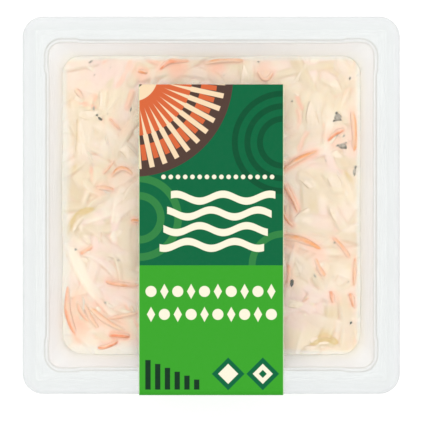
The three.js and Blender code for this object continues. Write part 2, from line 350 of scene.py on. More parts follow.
def rounded(path, steps=5):
    """Rounds the bends of a path. Each row ends in how far its bend reaches along the path."""
    path = [np.array(row, dtype=float) for row in path]
    smooth = [path[0][:-1]]
    for before, here, after in zip(path, path[1:], path[2:]):
        reach = here[-1]
        before, here, after = before[:-1], here[:-1], after[:-1]
        ends = []
        for other in (before, after):
            length = math.dist((here[0], here[2]), (other[0], other[2]))
            ends.append(here + (other - here) * min(reach / length, 0.48))
        for t in np.linspace(0, 1, steps + 1):
            smooth.append((1 - t) ** 2 * ends[0] + 2 * t * (1 - t) * here + t ** 2 * ends[1])
    smooth.append(path[-1][:-1])
    return smooth


print("a level cut has", len(outline(0.0, 60.0, 6.5)), "points")


# %% The tub's levels, from the CAD drawing
TUB_TOP = 50.0
WALL = 0.8
FLANGE = (60.0, 6.5)
MOUTH = (52.3, 5.2)
LIP = (51.5, 3.8)
NECK = (51.2, 3.8, 47.4)
SHOULDER = (47.6, 6.0, 39.5)
HEEL = (42.6, 9.0, 4.6)
FOOT = 38.8
PUSH_UP = 34.5
FLOOR_Z = 0.8
LUG = 0.5

WALL_HEIGHTS = [HEEL[2], SHOULDER[2], NECK[2]]
WALL_HALVES = [HEEL[0], SHOULDER[0], NECK[0]]
WALL_RADII = [HEEL[1], SHOULDER[1], NECK[1]]


def wall_half(z):
    """Half the width of the tub's inside at a height."""
    return np.interp(z, [FLOOR_Z, 2.4, *WALL_HEIGHTS], [FOOT, 41.3, *WALL_HALVES])


def wall_radius(z):
    """The radius of the inside corners at a height."""
    return np.interp(z, WALL_HEIGHTS, WALL_RADII)


# Each row: half width, corner radius, height, lug, and how far the bend reaches.
tub_path = [
    (3.0, 2.0, 1.5, 0, 0),
    (PUSH_UP - 1.6, 9.0, 1.2, 0, 1.2),
    (PUSH_UP, 9.0, 0.0, 0, 0.8),
    (FOOT, 9.0, 0.0, 0, 1.0),
    (FOOT + WALL + 0.9, 9.0, 0.9, 0, 1.6),
    (HEEL[0] + WALL, HEEL[1] + WALL, HEEL[2], 0, 3.0),
    (SHOULDER[0] + WALL, SHOULDER[1] + WALL, SHOULDER[2], 0, 2.2),
    (NECK[0] + WALL, NECK[1] + WALL, NECK[2], 0, 0.9),
    (NECK[0] + WALL + 0.4, LIP[1] + WALL, TUB_TOP - 1.0, 0, 0.5),
    (FLANGE[0] - WALL, FLANGE[1] - WALL, TUB_TOP - 1.0, 0, 1.3),
    (FLANGE[0] - WALL, FLANGE[1] - WALL, TUB_TOP - 3.2, 0, 0.25),
    (FLANGE[0], FLANGE[1], TUB_TOP - 3.2, 0, 0.3),
    (FLANGE[0], FLANGE[1], TUB_TOP, 0, 0.9),
    (MOUTH[0] + 0.3, MOUTH[1] + 0.4, TUB_TOP, LUG, 0.3),
    (MOUTH[0] - 0.1, MOUTH[1], TUB_TOP - 0.55, LUG, 0.35),
    (LIP[0] + 0.05, LIP[1] + 0.2, TUB_TOP - 0.75, LUG * 0.5, 0.35),
    (NECK[0], NECK[1], NECK[2], 0, 1.2),
    (SHOULDER[0], SHOULDER[1], SHOULDER[2], 0, 2.2),
    (HEEL[0], HEEL[1], HEEL[2], 0, 3.0),
    (FOOT + 0.9, 9.0, 1.5, 0, 1.6),
    (FOOT, 9.0, FLOOR_Z, 0, 1.0),
    (PUSH_UP, 9.0, FLOOR_Z, 0, 0.8),
    (PUSH_UP - 1.6, 9.0, 2.0, 0, 1.2),
    (3.0, 2.0, 2.3, 0, 0),
]
tub_levels = rounded(tub_path)
print("the tub's profile has", len(tub_levels), "levels")

# %% [markdown]
# The milky plastic lets about a third of what is behind it through. The film is
# sealed to the flange along its inner edge. The flange's top is painted a greyer
# colour than the walls, painted shade that offsets the stronger light on it, its
# outer edge is painted grey as painted shade, and a thin grey line of painted
# shade marks each bend of the small step at the mouth. Dressing has been
# splashed on the wall above the salad, so the band there is a little creamier in
# clouds. These are the things that keep it from looking like a plain white tub.

# %% The milky plastic
CLEARNESS = 0.42


def milky_plastic():
    material, recipe = new_material("milky_plastic")
    place = recipe.place()
    height = recipe.part(place, "Z")
    clouds = recipe.ease(recipe.noise(place, 70.0, 3.0), 0.35, 0.65)
    splashed = recipe.ease(height, 0.0445, 0.0395) * (0.55 + 0.45 * clouds)
    flow = recipe.noise(recipe.vector("MULTIPLY", place, (1.0, 1.0, 0.25)), 160.0, 3.0)
    grain = recipe.noise(place, 1900.0, 1.0)
    plain_shader(recipe, {
        # Painted shade: the flange's top is given a greyer colour than the walls, to offset the
        # stronger light on it, its outer edge a grey of its own, and each bend of the mouth's step
        # a thin grey line.
        "Base Color": recipe.coats(rgb(252, 251, 252), (splashed, rgb(255, 250, 238)),
                                   (recipe.ease(height, 0.0488, 0.0499), rgb(218, 221, 222)),
                                   (recipe.number("bead") * 0.7, rgb(190, 187, 178)),
                                   (recipe.number("rim"), rgb(221, 225, 225))),
        "Roughness": recipe.ease(flow, 0.3, 0.7, 0.3, 0.42),
        "IOR": 1.49,
        "Alpha": 1 - CLEARNESS,
        "Subsurface Weight": 0.25,
        "Subsurface Radius": (1.0, 1.0, 1.0),
        "Subsurface Scale": 0.0015,
        "Normal": recipe.bump(flow * 0.7 + grain * 0.3, 0.05, 0.6),
    })
    return material


# %% The tub's shell
# Half widths of the two bends of the mouth's step, where thin lines of painted shade go.
SHADE_LINE_HALVES = (52.5, 51.6)


def closed_rings(rings):
    """Points and faces of a body made of rings and closed at both ends."""
    points = np.concatenate(rings)
    first = np.arange(len(rings[0]))
    ends = [first[::-1], first + len(points) - len(first)]
    return points, [*grid_faces(len(rings), len(first), closed=True), *ends]


def bell(value, middle, width, power=2):
    """1 at the middle, falling softly to nothing within a few widths."""
    return np.exp(-((value - middle) / width) ** power)


def make_tub():
    rings, shade_lines, rim_shades = [], [], []
    for half, radius, z, lug in tub_levels:
        rings.append(outline(z, half, min(radius, half * 0.7), lug))
        on_top = z > TUB_TOP - 1.6 and half < FLANGE[0] - 3
        # Thin lines of painted shade at the mouth's step, and painted shade round the flange's
        # outer edge.
        shade_lines.append(max(bell(half, line, 0.2) for line in SHADE_LINE_HALVES) if on_top else 0.0)
        rim_shades.append(bell(half, FLANGE[0], 0.5) if z > TUB_TOP - 3.3 else 0.0)
    count = len(rings[0])
    numbers = {"bead": np.repeat(shade_lines, count), "rim": np.repeat(rim_shades, count)}
    return make_piece("tub_shell", *closed_rings(rings), numbers, milky_plastic())


set_down(make_tub(), "tub")

# %% [markdown]
# ## Where the salad lies
#
# The salad's surface is a landscape: a soft lumpy level, the same as the CAD
# solid's, with hundreds of shreds lying in it. It is drawn as a map seen from
# above. Each shred in turn raises the map along its path, and a rounded maximum
# leaves the dressing as fillets between shreds. The map also remembers how much
# carrot or leaf lies near the surface, which fades with the depth of dressing
# over it, so buried carrot tints the cream a soft peach.


# %% The level of the salad and its map
SLAW_LEVEL = 38.9
MAP_HALF = 48.4
MAP_STEP = 0.22

# How a shred lies in the dressing, in millimetres: the rounding where it meets
# what it crosses, how sharply it comes out, how far its ends go down, and how
# deep its colour is still seen.
FILLET = 0.22
EDGE_SHARP = 0.1
ENDS_DOWN = 0.9
SEEN_DEPTH = 0.45


def slaw_height(x, y):
    """The broad lumps of the surface, as the CAD solid has them."""
    broad = 0.9 * np.sin(x / 10 + 0.9) * np.cos(y / 12 - 0.5)
    small = 0.45 * np.sin(x / 4.7 - y / 6.1) + 0.35 * np.cos(x / 7.3 + y / 4.4)
    return SLAW_LEVEL + broad + small


def soft_max(first, second, blend):
    """The larger of two heights, with a rounded crossing."""
    gap = np.clip(0.5 + 0.5 * (first - second) / blend, 0, 1)
    return second * (1 - gap) + first * gap + blend * gap * (1 - gap)


def arc(start, end, bow, steps=14):
    """Points of an arc. `bow` is how far its middle lies to the left of the straight line."""
    start, end = np.array(start, float), np.array(end, float)
    along = (end - start) / np.linalg.norm(end - start)
    control = (start + end) / 2 + 2 * bow * np.array([-along[1], along[0]])
    t = np.linspace(0, 1, steps)[:, None]
    return (1 - t) ** 2 * start + 2 * t * (1 - t) * control + t ** 2 * end


def headings(path):
    """Unit steps along a path, one at each of its points."""
    along = np.gradient(path, axis=0)
    return along / (np.linalg.norm(along, axis=1)[:, None] + 1e-9)


class Landscape:
    """Heights in millimetres over a flat field, with the tints of what lies near the surface."""

    def __init__(self, x_range, y_range, level):
        self.low = np.array([x_range[0], y_range[0]])
        self.columns = int((x_range[1] - x_range[0]) / MAP_STEP) + 1
        self.rows = int((y_range[1] - y_range[0]) / MAP_STEP) + 1
        x = x_range[0] + MAP_STEP * np.arange(self.columns)
        y = y_range[0] + MAP_STEP * np.arange(self.rows)
        self.x, self.y = np.meshgrid(x, y)
        self.level = level(self.x, self.y)
        self.height = self.level.copy()
        self.orange = np.zeros_like(self.height)
        self.leaf = np.zeros_like(self.height)

    def near(self, path, margin):
        """The window round a path, and how far off, along and on which side its places are."""
        first = np.floor((path.min(0) - margin - self.low) / MAP_STEP).astype(int).clip(0)
        last = np.ceil((path.max(0) + margin - self.low) / MAP_STEP).astype(int)
        window = (slice(first[1], last[1] + 1), slice(first[0], last[0] + 1))
        x, y = self.x[window], self.y[window]
        nearest = np.full(x.shape, np.inf)
        place, side = np.zeros(x.shape), np.zeros(x.shape)
        pieces = len(path) - 1
        for i in range(pieces):
            ax, ay = path[i]
            dx, dy = path[i + 1] - path[i]
            t = (((x - ax) * dx + (y - ay) * dy) / (dx * dx + dy * dy)).clip(0, 1)
            away = np.hypot(x - ax - t * dx, y - ay - t * dy)
            closer = away < nearest
            nearest = np.where(closer, away, nearest)
            place = np.where(closer, (i + t) / pieces, place)
            side = np.where(closer, np.sign(dx * (y - ay) - dy * (x - ax)), side)
        return window, nearest, place, side

    def lay(self, path, half_width, lift, crown, orange, leaf, lean=0.0, flat=2.0):
        """Lays one shred on the map along a path."""
        window, nearest, place, side = self.near(path, half_width + 0.8)
        share = nearest / half_width
        body = 1 - share.clip(0, 1.6) ** flat
        ends = 1 - np.abs(2 * place - 1) ** 6
        top = self.level[window] + lift + crown * body + lean * side * share.clip(0, 1)
        top = np.where(share < 1.5, top - ENDS_DOWN * (1 - ends), -99.0)
        here = self.height[window]
        over = 1 / (1 + np.exp(-np.clip((top - here) / EDGE_SHARP, -30, 30)))
        glow = np.exp(np.clip((top - here) / SEEN_DEPTH, -30, 0))
        was_orange, was_leaf = self.orange[window], self.leaf[window]
        under_orange = np.maximum(was_orange, orange * glow)
        under_leaf = was_leaf + (leaf - was_leaf) * glow * 0.6
        self.orange[window] = over * orange + (1 - over) * under_orange
        self.leaf[window] = over * leaf + (1 - over) * under_leaf
        self.height[window] = soft_max(top, here, FILLET)

    def tint(self, path, radius, orange, leaf):
        """Clouds the dressing softly along a path."""
        window, nearest, place, _ = self.near(path, radius * 2.2)
        glow = bell(nearest, 0, radius) * (1 - 0.6 * np.abs(2 * place - 1) ** 4)
        self.orange[window] = np.maximum(self.orange[window], orange * glow)
        self.leaf[window] += leaf * glow

    def stain(self, x, y, radius, orange, leaf):
        """A cloud of colour in the dressing, with an uneven edge."""
        dx = self.x - x + 0.22 * radius * np.sin(self.y / 1.9 + x)
        dy = self.y - y + 0.22 * radius * np.sin(self.x / 2.3 + y)
        glow = bell(dx * dx + dy * dy, 0, radius ** 2, 1.3)
        self.orange = np.maximum(self.orange, orange * glow)
        self.leaf = self.leaf + leaf * glow

    def sample(self, x, y, layer):
        """A layer's value at any place, between the points of the map."""
        u = ((np.asarray(x) - self.low[0]) / MAP_STEP).clip(0, self.columns - 1.001)
        v = ((np.asarray(y) - self.low[1]) / MAP_STEP).clip(0, self.rows - 1.001)
        i, j = u.astype(int), v.astype(int)
        u, v = u - i, v - j
        bottom = layer[j, i] * (1 - u) + layer[j, i + 1] * u
        top = layer[j + 1, i] * (1 - u) + layer[j + 1, i + 1] * u
        return bottom * (1 - v) + top * v


# %% [markdown]
# ## The shreds that show
#
# The carrot is grated: thin, a little over a millimetre wide, and bent. The
# cabbage is sliced into flat ribbons, some with a yellow outer edge. Each row
# below is one listed shred: where it starts and ends, how far
# its middle bows to the left, its width, and how much of its own colour shows
# through the dressing.

# %% The lists of shreds
CARROTS = [
    ((-17.5, 42.4), (-5.5, 47.2), 2.0, 1.7, 0.95),
    ((-3.0, 45.4), (11.5, 46.7), 0.6, 1.5, 0.8),
    ((14.5, 44.5), (20.6, 44.2), -4.0, 1.3, 0.65),
    ((45.2, 32.0), (45.8, 16.0), 0.5, 2.2, 0.65),
    ((22.0, 10.5), (35.0, 17.6), 0.8, 1.5, 1.2),
    ((23.0, 7.0), (28.0, -3.0), 0.5, 1.2, 1.25),
    ((22.0, 0.0), (27.0, -7.5), -0.5, 1.2, 1.0),
    ((20.0, -10.5), (36.2, -15.5), 1.9, 2.3, 0.9),
    ((33.5, -16.0), (37.0, -23.2), -0.8, 1.8, 0.55),
    ((38.0, -9.5), (44.8, -18.0), 0.6, 1.6, 0.55),
    ((46.5, -15.5), (45.8, -27.0), -0.2, 1.2, 0.6),
    ((38.2, -26.8), (39.2, -32.3), 0.2, 1.7, 0.6),
    ((44.2, -27.5), (45.6, -33.4), 0.4, 1.7, 0.7),
    ((37.0, 20.2), (43.6, 24.6), 0.8, 1.6, 0.75),
    ((24.8, -18.0), (23.8, -27.0), 0.6, 1.7, 0.5),
    ((-35.0, -23.8), (-22.0, -25.4), -0.7, 1.8, 0.65),
    ((-45.6, -22.0), (-41.6, -45.0), -2.5, 2.1, 0.7),
    ((-42.8, -29.5), (-38.2, -38.0), -1.2, 1.4, 0.5),
    ((-41.2, -30.0), (-35.4, -40.4), -0.7, 1.4, 0.6),
    ((-40.2, -31.0), (-25.8, -41.0), -1.3, 1.8, 0.55),
    ((-33.0, -41.5), (-25.6, -42.0), 0.1, 1.6, 1.3),
    ((-36.8, -45.8), (-29.6, -43.2), -0.6, 1.4, 1.3),
    ((-34.0, -36.3), (-22.0, -34.2), -0.2, 1.5, 0.5),
    ((-42.6, -16.0), (-37.6, -13.0), 0.1, 1.6, 0.55),
    ((-33.0, 7.5), (-24.0, 7.8), 4.2, 1.6, 0.6),
    ((-37.6, 5.6), (-30.6, 4.8), 0.3, 1.6, 0.65),
    ((-33.0, 28.2), (-28.9, 23.8), 0.0, 0.7, 0.6),
    ((-35.3, 9.7), (-30.8, 15.1), -0.4, 0.7, 0.4),
    ((-26.0, -5.1), (-22.4, -5.3), 0.2, 1.2, 0.95),
    ((-23.8, 43.0), (-20.2, 42.0), 0.3, 1.4, 1.1),
    ((29.0, -31.0), (31.5, -29.2), 0.1, 1.3, 0.35),
    ((-44.0, 38.0), (-41.0, 33.5), 0.2, 1.8, 0.35),
]
RIBBONS = [
    ((-36.5, -2.2), (-45.3, -11.5), -3.0, 2.8, 1.4),
    ((40.4, -44.9), (32.2, -45.5), -1.7, 2.1, 1.5),
    ((11.8, 47.0), (11.0, 33.0), -0.4, 3.4, 0.1),
    ((35.6, 36.0), (34.8, 22.0), -3.0, 4.0, 0.15),
    ((34.5, 41.5), (41.5, 35.0), 1.3, 3.0, 0.3),
    ((39.0, 46.0), (46.0, 37.0), 1.6, 3.0, 0.2),
    ((22.0, -31.2), (33.5, -34.4), 0.8, 2.6, 0.05),
    ((-45.0, 31.0), (-34.0, 29.5), -1.4, 3.2, 0.45),
    ((-41.2, 30.0), (-42.0, 10.0), 0.4, 4.6, 0.5),
    ((-38.0, -13.5), (-25.5, -21.5), 2.2, 3.6, 0.25),
    ((-34.6, 37.5), (-35.3, 29.8), 0.1, 2.2, 0.0),
    ((28.4, -48.3), (35.5, -45.4), -0.4, 2.2, 0.6),
    ((26.0, -2.0), (40.0, -7.0), -1.6, 4.4, 0.35),
    ((27.0, 9.5), (33.5, 4.0), 1.2, 3.0, 0.3),
    ((36.0, 12.0), (41.0, 3.0), 1.0, 3.6, 0.2),
    ((38.5, 1.0), (43.5, -8.5), -0.8, 2.6, 0.3),
    ((-30.5, 20.0), (-24.0, 12.0), 1.0, 3.4, 0.2),
]

# Where finely grated carrot or leaf clouds the dressing: x, y, the radius, and
# how much orange and leaf it has. The leaf clouds by the left wall are also
# painted shade: they stand for the ochre shade of soft folds there.
CLOUDS = [
    (-44.0, -30.0, 4.5, 0.24, 0.0), (-43.5, -39.0, 4.0, 0.3, 0.0), (-36.5, -35.5, 5.0, 0.3, 0.0),
    (-29.0, -39.0, 4.5, 0.26, 0.0), (-29.5, -25.0, 4.0, 0.16, 0.0), (-36.0, 5.5, 3.5, 0.2, 0.0),
    (-27.0, 9.0, 4.0, 0.14, 0.0), (-28.0, 24.0, 4.0, 0.14, 0.0), (-42.0, 34.0, 3.5, 0.12, 0.0),
    (-11.0, 45.0, 4.5, 0.36, 0.0), (1.5, 46.0, 4.5, 0.34, 0.0), (-22.5, 42.5, 3.5, 0.24, 0.0),
    (17.5, 42.5, 4.5, 0.2, 0.0), (25.5, -3.0, 4.5, 0.2, 0.0), (26.0, -13.0, 4.0, 0.24, 0.0),
    (34.0, -15.0, 4.5, 0.2, 0.0), (25.0, -22.5, 3.5, 0.16, 0.0), (39.5, 21.5, 4.5, 0.2, 0.0),
    (45.5, 20.0, 4.0, 0.2, 0.0), (25.0, 24.0, 4.0, 0.14, 0.0), (39.0, -29.5, 3.0, 0.2, 0.0),
    (43.0, -15.0, 3.5, 0.14, 0.0), (42.0, 38.0, 6.0, 0.04, 0.45), (35.0, 33.0, 5.0, 0.0, 0.3),
    (-40.0, 30.0, 5.5, 0.0, 0.22), (43.0, 12.0, 4.5, 0.06, 0.4), (34.0, -38.0, 6.0, 0.0, 0.3),
    (-43.0, 22.0, 4.0, 0.0, 0.22), (31.0, 1.5, 6.0, 0.0, 0.25), (44.0, -30.0, 4.0, 0.0, 0.35),
    (36.3, -44.0, 2.4, 0.26, 0.0),
]
print(len(CARROTS), "carrot shreds,", len(RIBBONS), "ribbons and", len(CLOUDS), "clouds by eye")

# %% Random shreds, for the rest of the salad
SLAW_SEED = 11
HIDDEN_SHREDS = 430
CARROT_SHARE = 0.26
CLOUD_ORANGE = 1.4
# Strength of the leaf clouds, which are leaf colour and, by the left wall, painted shade of folds.
CLOUD_LEAF_AND_SHADE = 1.2
WHOLE_MAP = (-MAP_HALF, MAP_HALF)

rng = np.random.default_rng(SLAW_SEED)


def random_shred(x_range, y_range, reach):
    """A start, an end and a bow at random."""
    middle = np.array([rng.uniform(*x_range), rng.uniform(*y_range)])
    heading = rng.uniform(0, 2 * math.pi)
    half = rng.uniform(*reach) / 2
    step = half * np.array([math.cos(heading), math.sin(heading)])
    return middle - step, middle + step, half * rng.uniform(-0.4, 0.4)


def bury_shreds(field, count, x_range, y_range, spread, tint=1.0):
    """Lays shreds on the map at random depths, most of them under the dressing."""
    for _ in range(count):
        start, end, bow = random_shred(x_range, y_range, (9.0, 30.0))
        if rng.random() < CARROT_SHARE:
            path = arc(start * 0.75 + end * 0.25, start * 0.25 + end * 0.75, bow * 0.8)
            width, lift = rng.uniform(0.7, 1.3), rng.uniform(-1.1, -0.25) * spread
            field.lay(path, width, lift, 0.7, rng.uniform(0.04, 0.42) * tint, 0.1)
        else:
            lean = rng.uniform(-0.3, 0.3)
            width, lift = rng.uniform(1.0, 2.4), rng.uniform(-0.6, 0.3) * spread
            leaf = rng.uniform(-0.5, 0.85)
            field.lay(arc(start, end, bow), width, lift, 0.38, 0.0, leaf, lean, flat=4.0)


top_map = Landscape(WHOLE_MAP, WHOLE_MAP, slaw_height)
bury_shreds(top_map, HIDDEN_SHREDS, WHOLE_MAP, WHOLE_MAP, 1.0)
for x, y, radius, orange, leaf in CLOUDS:
    top_map.stain(x, y, radius, orange * CLOUD_ORANGE, leaf * CLOUD_LEAF_AND_SHADE)
for start, end, bow, width, leaf in RIBBONS:
    path = arc(start, end, bow)
    top_map.lay(path, width * 0.66, 0.25, 0.35, 0.0, leaf * 0.6, 0.1, flat=4.0)
    right_edge = path + headings(path)[:, ::-1] * (0.4 * width, -0.4 * width)
    top_map.tint(right_edge, 0.9, 0.0, leaf * 0.9)
for start, end, bow, width, show in CARROTS:
    path = arc(start, end, bow)
    top_map.lay(path, width / 2 + 0.4, -0.05, 0.45, show * 0.4, 0.0)
    top_map.tint(path, width / 2 + 1.0, 0.1 + show * 0.4, 0.0)
print("the map has", top_map.height.size, "places, from", round(top_map.height.min(), 1), "to",
      round(top_map.height.max(), 1), "mm above the table")

# %% [markdown]
# ## The dressing's surface
#
# The map becomes a mesh: a square net whose corners are drawn in to the tub's
# round corners. Its rim goes a quarter of a millimetre into the plastic, because
# a gap of air between food and wall would show as a dark line. Below the rim the
# salad is a second, coarser body against the wall, with shreds of its own
# pressed to the plastic.

# %% A square net with round corners
REACH_INTO_WALL = 0.28


def round_net(count, half, radius):
    """A square table of points whose outermost row lies on a square with round corners."""
    u, v = np.meshgrid(np.linspace(-1, 1, count), np.linspace(-1, 1, count))
    size = np.maximum(np.abs(u), np.abs(v))
    small = np.minimum(np.abs(u), np.abs(v))
    lean = np.divide(small, size, out=np.zeros_like(size), where=size > 0)
    # Along this ray the straight side is 1 away, and the round corner is `share` of that.
    flat = (half - radius) / half
    corner = lean > flat
    a = 1 + lean ** 2
    b = flat * (1 + lean)
    c = 2 * flat ** 2 - (radius / half) ** 2
    share = np.where(corner, (b + np.sqrt(np.maximum(b * b - a * c, 0))) / a, 1.0)
    pull = ((size - 0.75) / 0.25).clip(0, 1)
    share = 1 - (1 - share) * pull * pull * (3 - 2 * pull)
    return u * share * half, v * share * half


def border(rows, columns):
    """The numbers of the outermost points of such a table, once round."""
    table = np.arange(rows * columns).reshape(rows, columns)
    return np.concatenate([table[0, :-1], table[:-1, -1], table[-1, :0:-1], table[:0:-1, 0]])


def band(upper, lower):
    """Squares between two closed rows of point numbers."""
    return np.stack([upper, lower, np.roll(lower, -1), np.roll(upper, -1)], axis=1)


# %% Shreds pressed to the wall
PERIMETER = 340.0
SIDE_HEIGHT = 44.0
SIDE_SHREDS = 420
SEAM = 0.02

side_map = Landscape((0.0, PERIMETER), (0.0, SIDE_HEIGHT), lambda x, y: np.zeros_like(x))
bury_shreds(side_map, SIDE_SHREDS, (-5.0, PERIMETER + 5.0), (0.0, SIDE_HEIGHT), 0.3, 2.2)


def side_tints(x, y, z):
    """The orange and leaf tints at a place on the side, from the map that is wrapped round it."""
    turn = (np.arctan2(y, x) / (2 * math.pi)) % 1.0
    seam = np.minimum(turn, 1 - turn).clip(0, SEAM) / SEAM
    layers = (side_map.orange, side_map.leaf)
    return [side_map.sample(turn * PERIMETER, z, layer) * seam for layer in layers]


print(SIDE_SHREDS, "shreds are pressed to the wall")


# %% The wet dressing
CREAM = rgb(240, 222, 201)
CREAM_PINK = rgb(242, 214, 200)
CREAM_YELLOW = rgb(238, 219, 188)
LEAF_PALE = rgb(230, 210, 180)
LEAF_YELLOW = rgb(220, 190, 124)
PEACH = rgb(250, 194, 164)
CARROT_WET = rgb(246, 162, 100)
# Painted shade for the creases, and a pale colour that serves both for pale leaf and for the
# painted highlight on crests.
CREASE_SHADE = rgb(222, 180, 142)
PALE_LEAF_AND_HIGHLIGHT = rgb(247, 232, 211)
WALL_SMEAR = rgb(234, 229, 218)


def wet_dressing():
    """Cream in clouds, tinted by what is under it, with a painted highlight on crests and painted
    shade in creases.
    """
    material, recipe = new_material("wet_dressing")
    place = recipe.place()
    elsewhere = recipe.vector("ADD", place, (0.31, 0.12, 0.2))
    curd = recipe.noise(place, 620.0, 3.0)
    fine = recipe.noise(place, 2100.0, 2.0)
    orange, leaf = recipe.number("orange"), recipe.number("leaf")
    plain_shader(recipe, {
        "Base Color": recipe.coats(
            CREAM,
            (recipe.ease(recipe.noise(place, 55.0, 3.0), 0.4, 0.62), CREAM_PINK),
            (recipe.ease(recipe.noise(elsewhere, 75.0, 3.0), 0.45, 0.65), CREAM_YELLOW),
            (recipe.ease(leaf, 0.0, -0.5), PALE_LEAF_AND_HIGHLIGHT),
            (recipe.ease(leaf, 0.0, 0.6), LEAF_PALE),
            (recipe.ease(leaf, 0.6, 1.3), LEAF_YELLOW),
            # Painted highlight on the crests.
            (recipe.number("crest_highlight") * 0.6, PALE_LEAF_AND_HIGHLIGHT),
            (recipe.ease(orange, 0.02, 0.5), PEACH),
            (recipe.ease(orange, 0.35, 1.1), CARROT_WET),
            # Painted shade in the creases.
            (recipe.number("crease_shade") * 0.7, CREASE_SHADE),
            (recipe.number("smear"), WALL_SMEAR)),
        "Roughness": recipe.ease(curd, 0.3, 0.7, 0.28, 0.46),
        "IOR": 1.42,
        "Subsurface Weight": 0.3,
        "Subsurface Radius": (1.0, 0.62, 0.36),
        "Subsurface Scale": 0.0016,
        "Normal": recipe.bump(curd * 0.75 + fine * 0.25, 0.16, 0.7),
    })
    return material


dressing_material = wet_dressing()
print("the wet dressing is made of", len(dressing_material.node_tree.nodes), "nodes")


# %% The surface itself
NET_COUNT = 280
RIM_CLIMB = 0.6
RIM_WIDTH = 1.8
SMEAR_FRONT = 3.3
SMEAR_LEFT = 2.5
SMEAR_BACK = 1.5
SMEAR_COVER = 0.92
BLUR_TIMES = 14
RELIEF_FULL = 0.2
SKIN_BOTTOM = 35.0
SALAD_HALF = float(wall_half(SLAW_LEVEL + RIM_CLIMB)) + REACH_INTO_WALL


def at_the_wall(x, y):
    """How far the dressing climbs near the wall, and how much of it is only a smear there."""
    to_rim = SALAD_HALF - np.maximum(np.abs(x), np.abs(y))
    wobble = 0.5 * np.sin(x / 3.1 + 1.3) * np.cos(y / 2.7) + 0.35 * np.sin((x - y) / 5.3)
    climb = (RIM_CLIMB + wobble * 0.4) * bell(to_rim.clip(0), 0, RIM_WIDTH, 1.6)
    # More dressing was smeared on the left and front walls than on the other two.
    front = np.interp(x, [0, 30], [SMEAR_FRONT, SMEAR_BACK])
    left = np.interp(y, [-45, 0, 20, 45], [SMEAR_FRONT, SMEAR_LEFT, SMEAR_LEFT, SMEAR_BACK])
    reach = np.where(-y > np.abs(x), front, np.where(-x > np.abs(y), left, SMEAR_BACK))
    smear = (1.35 - to_rim / (reach * (1 + 0.25 * wobble))).clip(0, 1)
    return climb, smear * smear * (3 - 2 * smear) * SMEAR_COVER


def blurred(layer, times):
    """A map with its detail smoothed away."""
    for _ in range(times):
        padded = np.pad(layer, 1, mode="edge")
        layer = (padded[:-2, 1:-1] + padded[2:, 1:-1] + padded[1:-1, :-2] + padded[1:-1, 2:]
                 + 4 * padded[1:-1, 1:-1]) / 8
    return layer


def make_dressing():
    x, y = round_net(NET_COUNT, SALAD_HALF, float(wall_radius(SLAW_LEVEL)))
    climb, smear = at_the_wall(x, y)
    net = np.stack([x, y, top_map.sample(x, y, top_map.height) + climb], axis=-1).reshape(-1, 3)

    # Below its rim a short skin goes down the wall and is closed underneath.
    rim = border(NET_COUNT, NET_COUNT)
    shrink = (wall_half(SKIN_BOTTOM) + REACH_INTO_WALL) / SALAD_HALF
    down = net[rim] * (shrink, shrink, 0) + (0, 0, SKIN_BOTTOM)
    skin = np.concatenate([(net[rim] + down) / 2, down])
    middle_row = len(net) + np.arange(len(rim))
    last_row = middle_row + len(rim)
    faces = [*grid_faces(NET_COUNT, NET_COUNT), *band(rim, middle_row), *band(middle_row, last_row),
             last_row[::-1]]

    # The relief is the map's height against its blurred self: it lays a painted highlight on crests
    # and painted shade in creases.
    relief = (top_map.height - blurred(top_map.height, BLUR_TIMES)) / RELIEF_FULL
    side_orange, side_leaf = side_tints(*skin.T)
    none = np.zeros(len(skin))
    numbers = {"smear": np.concatenate([smear.ravel(), none])}
    layers = (("orange", top_map.orange, side_orange), ("leaf", top_map.leaf, side_leaf),
              ("crease_shade", (-relief).clip(0, 1), none), ("crest_highlight", relief.clip(0, 1), none))
    for key, layer, side in layers:
        numbers[key] = np.concatenate([top_map.sample(net[:, 0], net[:, 1], layer), side])
    points = np.concatenate([net, skin])
    return make_piece("slaw_dressing", points, faces, numbers, dressing_material)


dressing = make_dressing()
set_down(dressing, "coleslaw")


# %% The body against the wall
BODY_TOP = 37.0
BODY_REACH = 0.2
BODY_STEPS = 150
BODY_BOTTOM = FLOOR_Z - BODY_REACH


def make_body():
    # The underside steps up with the tub's floor and is closed in the middle.
    under = [(9.5, 2.0), (22.0, 1.9), (PUSH_UP - 1.4, 1.75), (PUSH_UP + 0.3, BODY_BOTTOM)]
    rings = [outline(z, half, min(8.0, half * 0.5), side_steps=BODY_STEPS) for half, z in under]
    for z in (BODY_BOTTOM, 1.1, 1.6, 2.4, 3.4, HEEL[2], *np.linspace(5.6, BODY_TOP, 64)):
        wall = wall_half(max(z, HEEL[2]))
        half = float(np.interp(z, [BODY_BOTTOM, 2.4, HEEL[2]], [FOOT, 41.4, wall])) + BODY_REACH
        rings.append(outline(z, half, float(wall_radius(z)) + BODY_REACH, side_steps=BODY_STEPS))
    points, faces = closed_rings(rings)
    orange, leaf = side_tints(*points.T)
    inner = len(under) * len(rings[0])
    for tint, layer in ((orange, top_map.orange), (leaf, top_map.leaf)):
        tint[:inner] = top_map.sample(points[:inner, 0], points[:inner, 1], layer)
    numbers = {"orange": orange, "leaf": leaf}
    numbers.update({key: np.zeros(len(points)) for key in ("crease_shade", "crest_highlight", "smear")})
    return make_piece("slaw_body", points, faces, numbers, dressing_material)


set_down(make_body(), "coleslaw")

# %% [markdown]
# ## Shreds swept along their paths
#
# The shreds that stand out of the dressing are real ribbons. Each is a line of
# points with a width and an upward direction, and Geometry Nodes sweep a small
# flattened ring along all the lines at once. Drawing hundreds of ribbons by hand
# would be slow, and a tree keeps their thickness as one number to change. The
# ring remembers how far across the ribbon each point is, and the line how far
# along, so that the material can coat the edges and ends in dressing.
#
# `Tree` holds what this tree shares with the one for the flecks: named inputs at
# its start, and at its end real geometry with a finish.

